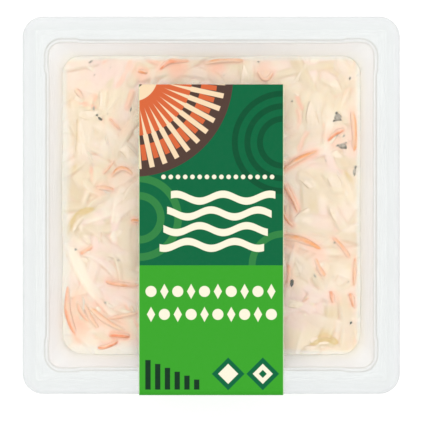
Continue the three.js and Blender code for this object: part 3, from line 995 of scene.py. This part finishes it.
# %% Geometry trees
class Tree(Recipe):
    """A geometry tree with named inputs that ends in real geometry with a finish."""

    def __init__(self, name, inputs, result):
        super().__init__(bpy.data.node_groups.new(name, "GeometryNodeTree"))
        self.tree.is_modifier = True
        self.result = result
        self.sockets = {}
        ways = [(key, kind, "INPUT") for key, kind in inputs.items()]
        for key, kind, way in ways + [(result, "Geometry", "OUTPUT")]:
            made = self.tree.interface.new_socket(key, in_out=way, socket_type="NodeSocket" + kind)
            self.sockets[key] = made.identifier
        self.given = self.tree.nodes.new("NodeGroupInput")

    def wire(self, name):
        """One of the tree's inputs."""
        return Wire(self, self.given.outputs[name])

    def stored(self, name, kind="FLOAT"):
        """What the geometry carries under a name."""
        return self.node("GeometryNodeInputNamedAttribute", {"data_type": kind}, {"Name": name})

    def store(self, geometry, name, value, domain):
        """The geometry with one more number at each point or on each instance."""
        settings = {"data_type": "FLOAT", "domain": domain}
        sockets = {"Geometry": geometry, "Name": name, "Value": value}
        return self.node("GeometryNodeStoreNamedAttribute", settings, sockets)

    def end(self, geometry):
        """Makes instances real, gives them the finish and hands them out."""
        whole = self.node("GeometryNodeRealizeInstances", None, {"Geometry": geometry})
        sockets = {"Geometry": whole, "Material": self.wire("Finish")}
        whole = self.node("GeometryNodeSetMaterial", None, sockets)
        self.node("NodeGroupOutput", None, {self.result: whole})

    def grow(self, name, host, values):
        """Runs the tree on a host object and keeps its result as a plain mesh object."""
        modifier = host.modifiers.new("grow", "NODES")
        modifier.node_group = self.tree
        for key, value in values.items():
            modifier[self.sockets[key]] = value
        bpy.context.view_layer.update()
        evaluated = host.evaluated_get(bpy.context.evaluated_depsgraph_get())
        mesh = bpy.data.meshes.new_from_object(evaluated)
        host.modifiers.remove(modifier)
        bpy.data.objects.remove(host)
        mesh.name = name
        return add_object(name, mesh)


# %% A tree that sweeps ribbons
def sweep_tree():
    inputs = {"Lines": "Geometry", "Thickness": "Float", "Sides": "Int", "Finish": "Material"}
    tree = Tree("swept_shreds", inputs, "Shreds")
    lines = tree.node("GeometryNodeMeshToCurve", None, {"Mesh": tree.wire("Lines")})
    lines = tree.node("GeometryNodeSetCurveNormal", {"mode": "FREE"},
                      {"Curve": lines, "Normal": tree.stored("upward", "FLOAT_VECTOR")})
    ring = tree.node("GeometryNodeCurvePrimitiveCircle", {"mode": "RADIUS"},
                     {"Resolution": tree.wire("Sides"), "Radius": 1.0})
    across = tree.part(tree.node("GeometryNodeInputPosition"), "Y")
    ring = tree.store(ring, "across", across, "POINT")
    squash = tree.node("ShaderNodeCombineXYZ", None,
                       {"X": tree.wire("Thickness"), "Y": 1.0, "Z": 1.0})
    ring = tree.node("GeometryNodeTransform", None, {"Geometry": ring, "Scale": squash})
    swept = tree.node("GeometryNodeCurveToMesh", None,
                      {"Curve": lines, "Profile Curve": ring, "Scale": tree.stored("half_width"),
                       "Fill Caps": True})
    tree.end(tree.node("GeometryNodeSetShadeSmooth", None, {"Geometry": swept}))
    return tree


sweep = sweep_tree()
print("the sweep has", len(sweep.tree.nodes), "nodes, with", list(sweep.sockets))


def swept_piece(name, shreds, thickness, sides, material):
    """One piece from a list of shreds, all with the same number of points."""
    count = len(shreds[0]["along"])
    numbers = {key: np.concatenate([shred[key] for shred in shreds]) for key in shreds[0]}
    points = numbers.pop("points")
    edges = [(i, i + 1) for i in range(len(points) - 1) if (i + 1) % count]
    host = make_piece(name + "_lines", points, [], numbers, edges=edges)
    return sweep.grow(name, host, {"Thickness": thickness, "Sides": sides, "Finish": material})


# %% Laying a shred on the salad
KEEP_OFF_WALL = 0.3
CORNER_CUT = 2.4
SHRED_STEPS = 18


def surface_at(path):
    """The height of the dressing's surface at places given as x and y."""
    return top_map.sample(path[:, 0], path[:, 1], top_map.height) + at_the_wall(*path.T)[0]


def lay_shred(start, end, bow, width, show, stand, thickness, lean, dip=0.6, taper=0.55):
    """A shred's line. The top of its middle stands out of the surface, and its ends dip in."""
    path = arc(start, end, bow, SHRED_STEPS)
    reach = float(wall_half(SLAW_LEVEL)) - KEEP_OFF_WALL - width / 2
    path = path.clip(-reach, reach)
    over = np.abs(path).sum(1) - (2 * reach - CORNER_CUT)
    path = path - np.sign(path) * np.maximum(over, 0)[:, None] / 2
    t = np.linspace(0, 1, SHRED_STEPS)
    swell = np.sin(math.pi * t)
    wander = 0.12 * np.sin(t * rng.uniform(5, 9) + rng.uniform(0, 6))
    z = surface_at(path) - width / 2 * thickness
    z = z + stand * swell ** 0.6 - dip * (1 - swell ** 0.35)
    z = np.convolve(np.pad(z, 2, mode="edge"), np.ones(5) / 5, mode="valid") + wander * swell
    along = headings(path)
    tilt = lean * np.cos(math.pi * t + rng.uniform(-0.6, 0.6))
    aside = np.sin(tilt)
    upward = np.column_stack([-along[:, 1] * aside, along[:, 0] * aside, np.cos(tilt)])
    half_width = width / 2 * (taper + (1 - taper) * np.sqrt(swell))
    half_width = half_width * (1 + 0.1 * np.sin(9 * t + rng.uniform(0, 6)))
    return {"points": np.column_stack([path, z]), "upward": upward, "half_width": half_width * MM,
            "along": t, "show": np.full(SHRED_STEPS, show),
            "tone": np.full(SHRED_STEPS, rng.random())}


# %% [markdown]
# ## Carrot and cabbage
#
# Raw carrot is a strong orange, but here it has lain in mayonnaise: it looks
# orange only along its ridge, and peach where the dressing clings. Cabbage is
# pale and a little clear, with its veins along it and a yellow-green outer edge.
# Both finishes start from their own colour and are coated by the same cream as
# the dressing, so that a shred melts into what it lies in.


# %% Finishes of the shreds
CARROT_BARE = rgb(244, 160, 76)
CARROT_DEEP = rgb(244, 140, 80)
COATED = rgb(249, 206, 178)
CABBAGE_WHITE = rgb(247, 227, 204)
CABBAGE_CLEAR = rgb(234, 213, 182)
CABBAGE_EDGE = rgb(214, 180, 106)
# A warm painted shade for the sides of a ribbon.
CABBAGE_SIDE_SHADE = rgb(236, 200, 160)


def coated_carrot():
    material, recipe = new_material("coated_carrot")
    place = recipe.place()
    barer_side = recipe.ease(recipe.number("tone"), 0.4, 0.6, -1.0, 1.0)
    ridge = 1 - recipe.ease(abs(recipe.number("across") * barer_side - 0.4), 0.15, 0.95)
    smear = recipe.ease(recipe.noise(place, 420.0, 3.0), 0.36, 0.66)
    own = recipe.blend(recipe.number("tone"), CARROT_BARE, CARROT_DEEP)
    patches = recipe.ease(recipe.noise(place, 170.0, 2.0), 0.38, 0.6, 0.45, 1.15)
    show = recipe.number("show")
    bare = show * patches * (0.15 + 0.95 * ridge) * (1 - 0.45 * smear)
    coat = recipe.blend(recipe.ease(show, 0.05, 0.6), CREAM, COATED)
    ends = recipe.ease(abs(recipe.number("along") - 0.5), 0.36, 0.5)
    fibre = recipe.noise(place, 1500.0, 2.0)
    plain_shader(recipe, {
        "Base Color": recipe.blend(bare * (1 - 0.4 * ends), coat, own),
        "Roughness": recipe.ease(smear, 0.0, 1.0, 0.28, 0.42),
        "IOR": 1.42,
        "Subsurface Weight": 0.35,
        "Subsurface Radius": (1.0, 0.45, 0.2),
        "Subsurface Scale": 0.0012,
        "Normal": recipe.bump(fibre * 0.5 + smear * 0.5, 0.12, 0.7),
    })
    return material


def coated_cabbage():
    material, recipe = new_material("coated_cabbage")
    place = recipe.place()
    across, show = recipe.number("across"), recipe.number("show")
    smear = recipe.ease(recipe.noise(place, 260.0, 3.0), 0.35, 0.65)
    clear = recipe.ease(recipe.noise(place, 800.0, 2.0), 0.4, 0.65)
    yellow = recipe.ease(across + recipe.ease(show, 0.9, 1.6) * 0.9, 0.3, 0.95)
    yellow = yellow * recipe.ease(show, 0.1, 1.0)
    vein = recipe.math("SINE", across * 11.0)
    plain_shader(recipe, {
        "Base Color": recipe.coats(CABBAGE_WHITE, (clear, CABBAGE_CLEAR),
                                   (yellow * 0.95, CABBAGE_EDGE),
                                   # The sides of each ribbon get a warm painted shade.
                                   (recipe.ease(abs(across), 0.75, 1.0) * 0.6, CABBAGE_SIDE_SHADE),
                                   (smear * 0.4, CREAM)),
        "Roughness": recipe.ease(smear, 0.0, 1.0, 0.34, 0.46),
        "IOR": 1.4,
        "Subsurface Weight": 0.12,
        "Subsurface Radius": (1.0, 0.8, 0.5),
        "Subsurface Scale": 0.0003,
        "Normal": recipe.bump(vein * 0.12 + smear * 0.6, 0.14, 0.7),
    })
    return material


# %% The shreds that show, and more like them
MORE_CARROTS = 20
MORE_RIBBONS = 60
CARROT_THICKNESS = 0.62
RIBBON_THICKNESS = 0.14
SALAD_RANGE = (-45, 45)

carrots = [lay_shred(a, b, bow, width, show, 0.2 + 0.45 * show, CARROT_THICKNESS, 0.25, 0.35, 0.7)
           for a, b, bow, width, show in CARROTS]
for _ in range(MORE_CARROTS):
    line = random_shred(SALAD_RANGE, SALAD_RANGE, (4.0, 12.0))
    width, show, stand = rng.uniform(0.7, 1.2), rng.uniform(0.05, 0.3), rng.uniform(-0.1, 0.2)
    carrots.append(lay_shred(*line, width, show, stand, CARROT_THICKNESS, 0.3))
ribbons = [lay_shred(*ribbon, 0.12, RIBBON_THICKNESS, 0.12) for ribbon in RIBBONS]
for _ in range(MORE_RIBBONS):
    line = random_shred(SALAD_RANGE, SALAD_RANGE, (8.0, 20.0))
    width, show, stand = rng.uniform(1.4, 3.4), rng.uniform(0.0, 0.4), rng.uniform(-0.14, 0.04)
    ribbons.append(lay_shred(*line, width, show, stand, RIBBON_THICKNESS, 0.1))

for name, shreds, thickness, sides, finish in (
        ("slaw_carrot", carrots, CARROT_THICKNESS, 8, coated_carrot()),
        ("slaw_cabbage", ribbons, RIBBON_THICKNESS, 12, coated_cabbage())):
    set_down(swept_piece(name, shreds, thickness, sides, finish), "coleslaw")

# %% [markdown]
# ## Flecks
#
# Here and there lies a fleck of herb or a scrap of dark rind, small enough that
# only its colour is seen. A few are at listed places, and the rest are
# strewn thinly by a tree that picks places on the dressing. Each fleck is a
# bent chip with a few faces, turned and sized at random.


# %% A tree that strews flecks
FLECKS = [
    # x, y, length, width, heading in degrees, and how pale it is
    (25.9, -24.9, 2.9, 1.2, 82, 0.0), (-35.6, 27.7, 1.9, 0.9, -35, 0.15),
    (-36.6, 28.9, 1.0, 0.8, 20, 0.4), (-25.8, 30.7, 1.7, 0.5, 75, 0.45),
    (40.2, 29.6, 1.0, 0.9, 10, 0.2), (41.4, 27.4, 1.3, 0.6, -20, 0.25),
    (39.4, 27.1, 0.9, 0.6, 30, 0.2), (40.6, 28.2, 3.0, 2.4, 60, 0.76),
    (40.6, 19.2, 1.2, 0.6, 40, 0.4), (43.2, 18.6, 1.3, 0.7, 80, 0.2),
    (43.3, 20.0, 0.9, 0.4, -10, 0.35), (42.2, 19.0, 2.8, 2.0, 10, 0.76),
    (42.6, 22.3, 1.2, 0.4, 45, 0.5), (40.6, 22.6, 1.6, 0.3, 60, 0.6),
    (46.3, 12.2, 1.4, 0.8, 85, 0.4), (46.0, 10.6, 2.6, 1.2, 88, 0.9),
    (44.8, -37.7, 1.2, 0.7, 60, 0.1), (44.5, 40.7, 1.2, 0.6, 70, 0.5),
    (-38.6, 46.0, 1.9, 0.6, 35, 0.72), (-43.5, -14.2, 0.9, 0.7, -30, 0.5),
    (15.2, 46.0, 0.9, 0.5, 0, 0.5), (-37.7, 30.8, 2.6, 0.6, 88, 0.88),
    (26.0, 33.4, 0.8, 0.6, 0, 0.6), (39.6, -12.0, 0.7, 0.6, 0, 0.4),
    (-34.0, -31.2, 0.8, 0.6, 0, 0.6), (-29.7, -17.6, 1.2, 0.3, 0, 0.5),
    (33.3, -22.6, 1.4, 0.5, -60, 0.7),
]

FLECK_DENSITY = 3500.0
FLECK_SEED = 4
FLECK_THICKNESS = 1.6
FLECK_LIFT = 0.12
print(len(FLECKS), "flecks are placed by eye")


def fleck_tree():
    inputs = {"Places": "Geometry", "Ground": "Object", "Chip": "Object", "Density": "Float",
              "Seed": "Int", "Finish": "Material"}
    tree = Tree("strewn_flecks", inputs, "Flecks")

    def shape(name):
        return tree.node("GeometryNodeObjectInfo", None, {"Object": tree.wire(name)}, "Geometry")

    def chance(low, high):
        """A random number or vector between two bounds."""
        kind, first, output = ("FLOAT_VECTOR", 0, 0) if isinstance(low, tuple) else ("FLOAT", 2, 1)
        sockets = {first: low, first + 1: high, "Seed": tree.wire("Seed")}
        return tree.node("FunctionNodeRandomValue", {"data_type": kind}, sockets, output)

    def chips(points, turn, size, tone):
        sockets = {"Points": points, "Instance": shape("Chip"), "Rotation": turn, "Scale": size}
        made = tree.node("GeometryNodeInstanceOnPoints", None, sockets)
        return tree.store(made, "tone", tone, "INSTANCE")

    placed = chips(tree.wire("Places"), tree.stored("turn", "FLOAT_VECTOR"),
                   tree.stored("size", "FLOAT_VECTOR"), tree.stored("shade"))
    upright = tree.part(tree.node("GeometryNodeInputNormal"), "Z")
    settings = {"data_type": "FLOAT", "operation": "GREATER_THAN"}
    facing_up = tree.node("FunctionNodeCompare", settings, {0: upright, 1: 0.8})
    points = tree.node("GeometryNodeDistributePointsOnFaces", {"distribute_method": "RANDOM"},
                       {"Mesh": shape("Ground"), "Selection": facing_up,
                        "Density": tree.wire("Density"), "Seed": tree.wire("Seed")})
    strewn = chips(points, chance((-0.4, -0.4, 0.0), (0.4, 0.4, 6.28)),
                   chance((0.25, 0.2, 0.5), (0.75, 0.5, 1.0)), chance(0.2, 1.0))
    joined = tree.node("GeometryNodeJoinGeometry")
    for part in (placed, strewn):
        tree.tree.links.new(part.socket, joined.socket.node.inputs[0])
    tree.end(joined)
    return tree


# %% The flecks
def dark_herb():
    material, recipe = new_material("dark_herb")
    place = recipe.place()
    shade = recipe.noise(place, 1400.0, 2.0)
    own = recipe.blend(recipe.ease(shade, 0.35, 0.65), rgb(26, 30, 6), rgb(84, 84, 48))
    spots = recipe.ease(recipe.noise(place, 2300.0, 1.0), 0.42, 0.34)
    pale = recipe.number("tone") * (0.95 - 0.75 * spots)
    plain_shader(recipe, {
        "Base Color": recipe.blend(pale, own, rgb(208, 196, 180)),
        "Roughness": recipe.ease(shade, 0.3, 0.7, 0.35, 0.6),
        "Specular IOR Level": 0.15,
    })
    return material


def make_chip():
    """A bent, six-sided chip one millimetre across."""
    upper = []
    for i, angle in enumerate(np.linspace(0, 2 * math.pi, 7)[:-1]):
        long, wide = math.cos(angle), math.sin(angle)
        upper.append((0.5 * long * (1.0 if i % 2 else 0.82), 0.5 * wide, 0.07 + 0.1 * long))
    lower = [(x * 0.9, y * 0.9, z - 0.14) for x, y, z in upper]
    faces = [tuple(range(6)), tuple(range(11, 5, -1))]
    faces += [(i, i + 6, (i + 1) % 6 + 6, (i + 1) % 6) for i in range(6)]
    return make_piece("chip", upper + lower, faces)


def make_flecks():
    chip = make_chip()
    x, y, lengths, widths, degrees, shades = np.array(FLECKS).T
    places, zero = np.column_stack([x, y]), np.zeros(len(FLECKS))
    numbers = {"shade": shades, "turn": np.column_stack([zero, zero, np.radians(degrees)]),
               "size": np.column_stack([lengths, widths, zero + FLECK_THICKNESS])}
    points = np.column_stack([places, surface_at(places) + FLECK_LIFT])
    host = make_piece("fleck_places", points, [], numbers)
    piece = fleck_tree().grow("slaw_herbs", host, {
        "Ground": dressing, "Chip": chip, "Density": FLECK_DENSITY, "Seed": FLECK_SEED,
        "Finish": dark_herb()})
    bpy.data.objects.remove(chip)
    return piece


set_down(make_flecks(), "coleslaw")

# %% [markdown]
# ## The film
#
# The lid is a film as thin as paper, welded to the flange. It is pulled tight
# but never quite flat: it hangs a fraction of a millimetre over the opening and
# has faint ripples. It is nearly clear, so its finish is a mix of seeing through
# and shining, more of the second where it is seen at a slant.


# %% A closed sheet from a table of points
def closed_sheet(name, table, thickness, numbers, material, flip=False):
    """A sheet with two faces and crisp edges. The table of points is its outer face."""
    rows, columns, _ = table.shape
    normal = np.cross(np.gradient(table, axis=1), np.gradient(table, axis=0))
    normal /= np.linalg.norm(normal, axis=-1)[..., None] + 1e-12
    inner = table - (-normal if flip else normal) * thickness
    points = np.concatenate([table.reshape(-1, 3), inner.reshape(-1, 3)])
    size = rows * columns
    rim = border(rows, columns)
    walls = band(rim, rim + size)
    faces = [*grid_faces(rows, columns, flip=flip), *grid_faces(rows, columns, size, flip=not flip),
             *(walls[:, ::-1] if flip else walls)]
    numbers = {key: np.concatenate(both).ravel() for key, both in numbers.items()}
    piece = make_piece(name, points, faces, numbers, material)
    ends = np.empty(2 * len(piece.data.edges), np.int32)
    piece.data.edges.foreach_get("vertices", ends)
    on_rim = np.isin(ends, np.concatenate([rim, rim + size])).reshape(-1, 2).all(axis=1)
    store(piece.data, "sharp_edge", on_rim, "EDGE")
    return piece


# %% The clear film
FILM_HALF = 58.4
FILM_RADIUS = 4.9
FILM_TOP = 50.13
FILM_THICK = 0.1
FILM_SAG = 0.35
FILM_EDGE_DOWN = 0.08
FILM_NET = 120
WELD_MIDDLE = 56.0
WELD_WIDTH = 2.4


def clear_film():
    material, recipe = new_material("clear_film")
    normal = recipe.bump(recipe.noise(recipe.place(), 38.0, 2.0), 0.5, 0.5)
    shine = recipe.node("ShaderNodeBsdfGlossy", None,
                        {"Color": WHITE, "Roughness": 0.08, "Normal": normal})
    milk = recipe.node("ShaderNodeBsdfDiffuse", None, {"Color": (0.93, 0.95, 0.94, 1)})
    clear = recipe.node("ShaderNodeBsdfTransparent", None, {"Color": (0.99, 0.993, 0.99, 1)})
    milkiness = 0.02 + 0.2 * recipe.number("weld")
    through = recipe.node("ShaderNodeMixShader", None, {0: milkiness, 1: clear, 2: milk})
    facing = recipe.node("ShaderNodeFresnel", None, {"IOR": 1.42, "Normal": normal})
    surface = recipe.node("ShaderNodeMixShader", None, {0: facing * 0.35, 1: through, 2: shine})
    recipe.node("ShaderNodeOutputMaterial", None, {"Surface": surface})
    return material


def make_film():
    x, y = round_net(FILM_NET, FILM_HALF, FILM_RADIUS)
    out = np.maximum(np.abs(x), np.abs(y))
    hang = 1 - (1 - (1 - out / MOUTH[0]).clip(0, 1)) ** 2
    ripple = 0.05 * np.sin(x / 6.0 + 1.0 + y / 23.0) + 0.04 * np.sin(y / 7.5 - x / 15.0)
    z = FILM_TOP - hang * FILM_SAG + ripple * np.minimum(hang * 4, 1)
    z = z - FILM_EDGE_DOWN * bell(out, FILM_HALF, 2.6)
    weld = bell(out, WELD_MIDDLE, WELD_WIDTH, 4)
    table = np.stack([x, y, z], axis=-1)
    return closed_sheet("lid_film", table, FILM_THICK, {"weld": (weld, weld)}, clear_film())


set_down(make_film(), "film")

# %% [markdown]
# ## The label
#
# The label is one strip of coated paper, stuck to the film, folded over the edge
# of the flange and stuck again to the front of the tub. Its path is drawn in
# profile and swept across. The numbers `paper_x` and `paper_y` are millimetres
# on the flat sheet, so that the print stays put where the paper bends.

# %% The label's path
LABEL_HALF = 23.0
LABEL_BACK = 38.4
LABEL_UNDER = 50.2
LABEL_PAPER = 0.15
LABEL_FRONT = -60.3
LABEL_BEND = 1.3
SKIRT_BOTTOM = 46.8
LANDING_Z = 14.0
LABEL_END_Z = 4.8
LABEL_STEP = 1.6


def label_wall(z):
    """Where the label lies on the outside of the front wall."""
    return -(np.interp(z, [HEEL[2], SHOULDER[2]], [HEEL[0], SHOULDER[0]]) + WALL + 0.2)


def label_path():
    landing = np.array([label_wall(LANDING_Z), LANDING_Z])
    slope = math.atan2(landing[0] - LABEL_FRONT, SKIRT_BOTTOM - landing[1])
    corners = [np.array([LABEL_BACK, LABEL_UNDER])]
    for centre_z, start, end in ((LABEL_UNDER - LABEL_BEND, 0.0, math.pi / 2),
                                 (SKIRT_BOTTOM, math.pi / 2, math.pi / 2 + slope)):
        for angle in np.linspace(start, end, 9):
            y = LABEL_FRONT + LABEL_BEND * (1 - math.sin(angle))
            corners.append(np.array([y, centre_z + LABEL_BEND * math.cos(angle)]))
    corners += [landing, np.array([label_wall(LABEL_END_Z), LABEL_END_Z])]
    path = [corners[0]]
    for start, end in zip(corners, corners[1:]):
        parts = max(1, int(np.linalg.norm(end - start) / LABEL_STEP))
        path += [start + (end - start) * i / parts for i in range(1, parts + 1)]
    return np.array(path)


# %% [markdown]
# ## The print
#
# The print is plain fields of colour with simple shapes: dark green above,
# bright green below, cream strands, rows of pips and lozenges, a flight of bars
# and a fan of rays. Every shape is a distance worked out in the shader, in
# millimetres on the sheet: where the distance falls below nothing, the ink is
# solid, and a tenth of a millimetre of easing gives it a clean edge at any size.


# %% Shapes for printing
INK_EDGE = 0.09


class Print:
    """Ink shapes on the flat sheet. Each answers 1 inside and 0 outside."""

    def __init__(self, recipe):
        self.recipe = recipe
        self.x = recipe.number("paper_x")
        self.y = recipe.number("paper_y")

    def ink(self, distance):
        return self.recipe.ease(distance, INK_EDGE, -INK_EDGE)

    def length(self, dx, dy):
        return self.recipe.math("SQRT", dx * dx + dy * dy)

    def away_from(self, x, y):
        return self.length(self.x - x, self.y - y)

    def larger(self, first, second):
        return self.recipe.math("MAXIMUM", first, second)

    def ring(self, x, y, radius, width):
        return self.ink(abs(self.away_from(x, y) - radius) - width / 2)

    def bar(self, x, y, half_x, half_y):
        return self.ink(self.larger(abs(self.x - x) - half_x, abs(self.y - y) - half_y))

    def between(self, value, low, high):
        return self.ink(self.larger(low - value, value - high))

    def row(self, left, right, pitch):
        """The x distance to the nearest of a row of places, and the mask of the row's length."""
        place = (self.x - left) % pitch - pitch / 2
        return abs(place), self.between(self.x, left, right)


def together(inks):
    """Several inks as one."""
    return sum(inks[1:], inks[0])


# %% The two greens and the shapes on them
SPLIT_Y = -19.1
FAN = (-25.0, 41.0, 32.0)
FAN_RAYS = 44.0
PIPS_Y = 9.0
ROW_HALF = 21.25
ROW_PITCH = 4.25
LOZENGE_Y = -53.6
BARS_Y = -58.6
GREEN_DARK = rgb(1, 97, 58)
GREEN_DEEP = rgb(0, 78, 46)
GREEN_SOFT = rgb(52, 130, 64)
GREEN_BRIGHT = rgb(54, 156, 38)
PRINT_CREAM = rgb(236, 231, 208)
FAN_BROWN = rgb(78, 58, 50)
FAN_CREAM = rgb(234, 208, 172)
FAN_ORANGE = rgb(206, 98, 56)
PAPER = rgb(246, 247, 238)
BAR_GREEN = rgb(14, 50, 30)
CUT_EDGE = rgb(196, 222, 180)


def print_field(recipe, sheet):
    """The two greens, with large tone-on-tone hoops and swirls in the dark one."""
    hoops = together([sheet.ring(23.0, 20.0, radius, 1.9) for radius in (15.5, 11.5, 7.5)])
    swirls = together([sheet.ring(*ring) for ring in (
        (-23.0, -4.0, 12.5, 2.4), (-23.0, -4.0, 7.0, 2.4), (23.0, -19.1, 10.0, 2.2))])
    return recipe.coats(GREEN_DARK, (hoops, GREEN_DEEP), (swirls * 0.8, GREEN_SOFT),
                        (sheet.ink(sheet.y - SPLIT_Y), GREEN_BRIGHT))


def print_fan(recipe, sheet, colour):
    """A fan of rays in the upper left corner."""
    x, y, radius = FAN
    away = sheet.away_from(x, y)
    angle = recipe.math("ARCTAN2", sheet.y - y, sheet.x - x)
    colour = recipe.blend(sheet.ink(away - radius), colour, FAN_BROWN)
    for inner, outer, shift, ink in ((4.0, 29.6, 0.0, FAN_CREAM), (8.0, 19.0, 0.5, FAN_ORANGE),
                                     (22.0, 27.0, 0.5, FAN_ORANGE)):
        turn = abs((angle * (FAN_RAYS / (2 * math.pi)) + shift) % 1.0 - 0.5)
        width = turn * away * (2 * math.pi / FAN_RAYS)
        ray = sheet.ink(width - 0.8) * sheet.between(away, inner, outer)
        colour = recipe.blend(ray, colour, ink)
    return colour


def print_strands(recipe, sheet, colour):
    """Cream strands that wave across the middle, and a row of pips over them."""
    beat, length = sheet.row(-16.3, 20.5, 2.3)
    inks = [sheet.ink(sheet.length(beat, abs(sheet.y - PIPS_Y)) - 0.72) * length]
    for i, (y, phase) in enumerate(((2.4, 0.0), (-2.6, 1.6), (-7.6, 3.1), (-12.6, 4.7))):
        wave = recipe.math("SINE", sheet.x * 0.42 + phase)
        strand = sheet.ink(abs(sheet.y - y - wave * 1.1) - 1.15)
        inks.append(strand * sheet.between(sheet.x, (3 - i) * 1.2 - 16.4, 20.4 - i * 1.2))
    return recipe.blend(together(inks), colour, PRINT_CREAM)


def print_rows(recipe, sheet, colour):
    """Two rows of lozenges and pips on the bright green."""
    inks = []
    for y, shift in ((-27.4, 0.0), (-34.7, 1.0)):
        beat, length = sheet.row(-ROW_HALF, ROW_HALF, ROW_PITCH)
        which = recipe.math("FLOOR", (sheet.x + ROW_HALF) / ROW_PITCH + shift) % 2.0
        dy = abs(sheet.y - y)
        lozenge = sheet.ink(beat * 0.88 + dy * 0.48 - 1.15)
        pip = sheet.ink(sheet.length(beat, dy) - 1.75)
        inks.append((lozenge * which + pip * (1 - which)) * length)
    return recipe.blend(together(inks), colour, PRINT_CREAM)


def print_foot(recipe, sheet, colour):
    """A flight of dark bars and two lozenges."""
    for x, size, ink in ((5.4, 5.2, GREEN_DARK), (5.4, 3.2, PRINT_CREAM), (16.4, 5.2, GREEN_DARK),
                         (16.4, 3.2, PRINT_CREAM), (16.4, 1.3, GREEN_DARK)):
        lozenge = sheet.ink((abs(sheet.x - x) + abs(sheet.y - LOZENGE_Y)) * 0.71 - size * 0.71)
        colour = recipe.blend(lozenge, colour, ink)
    heights = [4.7 - 0.62 * i for i in range(6)]
    bars = [sheet.bar(-20.1 + 3.1 * i, BARS_Y + tall, 0.85, tall) for i, tall in enumerate(heights)]
    return recipe.blend(together(bars), colour, BAR_GREEN)


# %% The printed paper
def printed_paper():
    material, recipe = new_material("printed_paper")
    sheet = Print(recipe)
    colour = print_field(recipe, sheet)
    for layer in (print_fan, print_strands, print_rows, print_foot):
        colour = layer(recipe, sheet, colour)
    cut = recipe.ease(abs(sheet.x), LABEL_HALF - 0.22, LABEL_HALF - 0.1)
    inside = recipe.ease(recipe.number("outer"), 0.9, 0.6)
    place = recipe.place()
    pulp = recipe.noise(place, 900.0, 3.0)
    cockle = recipe.noise(place, 60.0, 2.0)
    plain_shader(recipe, {
        "Base Color": recipe.coats(colour, (cut, CUT_EDGE), (inside, PAPER)),
        "Roughness": recipe.ease(pulp, 0.3, 0.7, 0.5, 0.6),
        "Specular IOR Level": 0.08,
        "Normal": recipe.bump(pulp * 0.15 + cockle * 0.85, 0.22, 0.5),
    })
    return material


def make_label():
    path = label_path()
    steps = np.linalg.norm(np.diff(path, axis=0), axis=1)
    paper_y = LABEL_BACK - np.concatenate([[0], np.cumsum(steps)])
    along = headings(path)
    outer = path + np.stack([along[:, 1], -along[:, 0]], axis=1) * LABEL_PAPER
    sheet_x, sheet_y, y, z = np.broadcast_arrays(
        np.linspace(-LABEL_HALF, LABEL_HALF, 31), paper_y[:, None], outer[:, :1], outer[:, 1:])
    ones = np.ones(y.shape)
    numbers = {"paper_x": (sheet_x, sheet_x), "paper_y": (sheet_y, sheet_y),
               "outer": (ones, ones * 0)}
    length = round(LABEL_BACK - paper_y[-1], 1)
    print("the label is", round(2 * LABEL_HALF), "by", length, "mm when flat")
    table = np.stack([sheet_x, y, z], axis=-1)
    return closed_sheet("label_paper", table, LABEL_PAPER, numbers, printed_paper(), flip=True)


set_down(make_label(), "label")
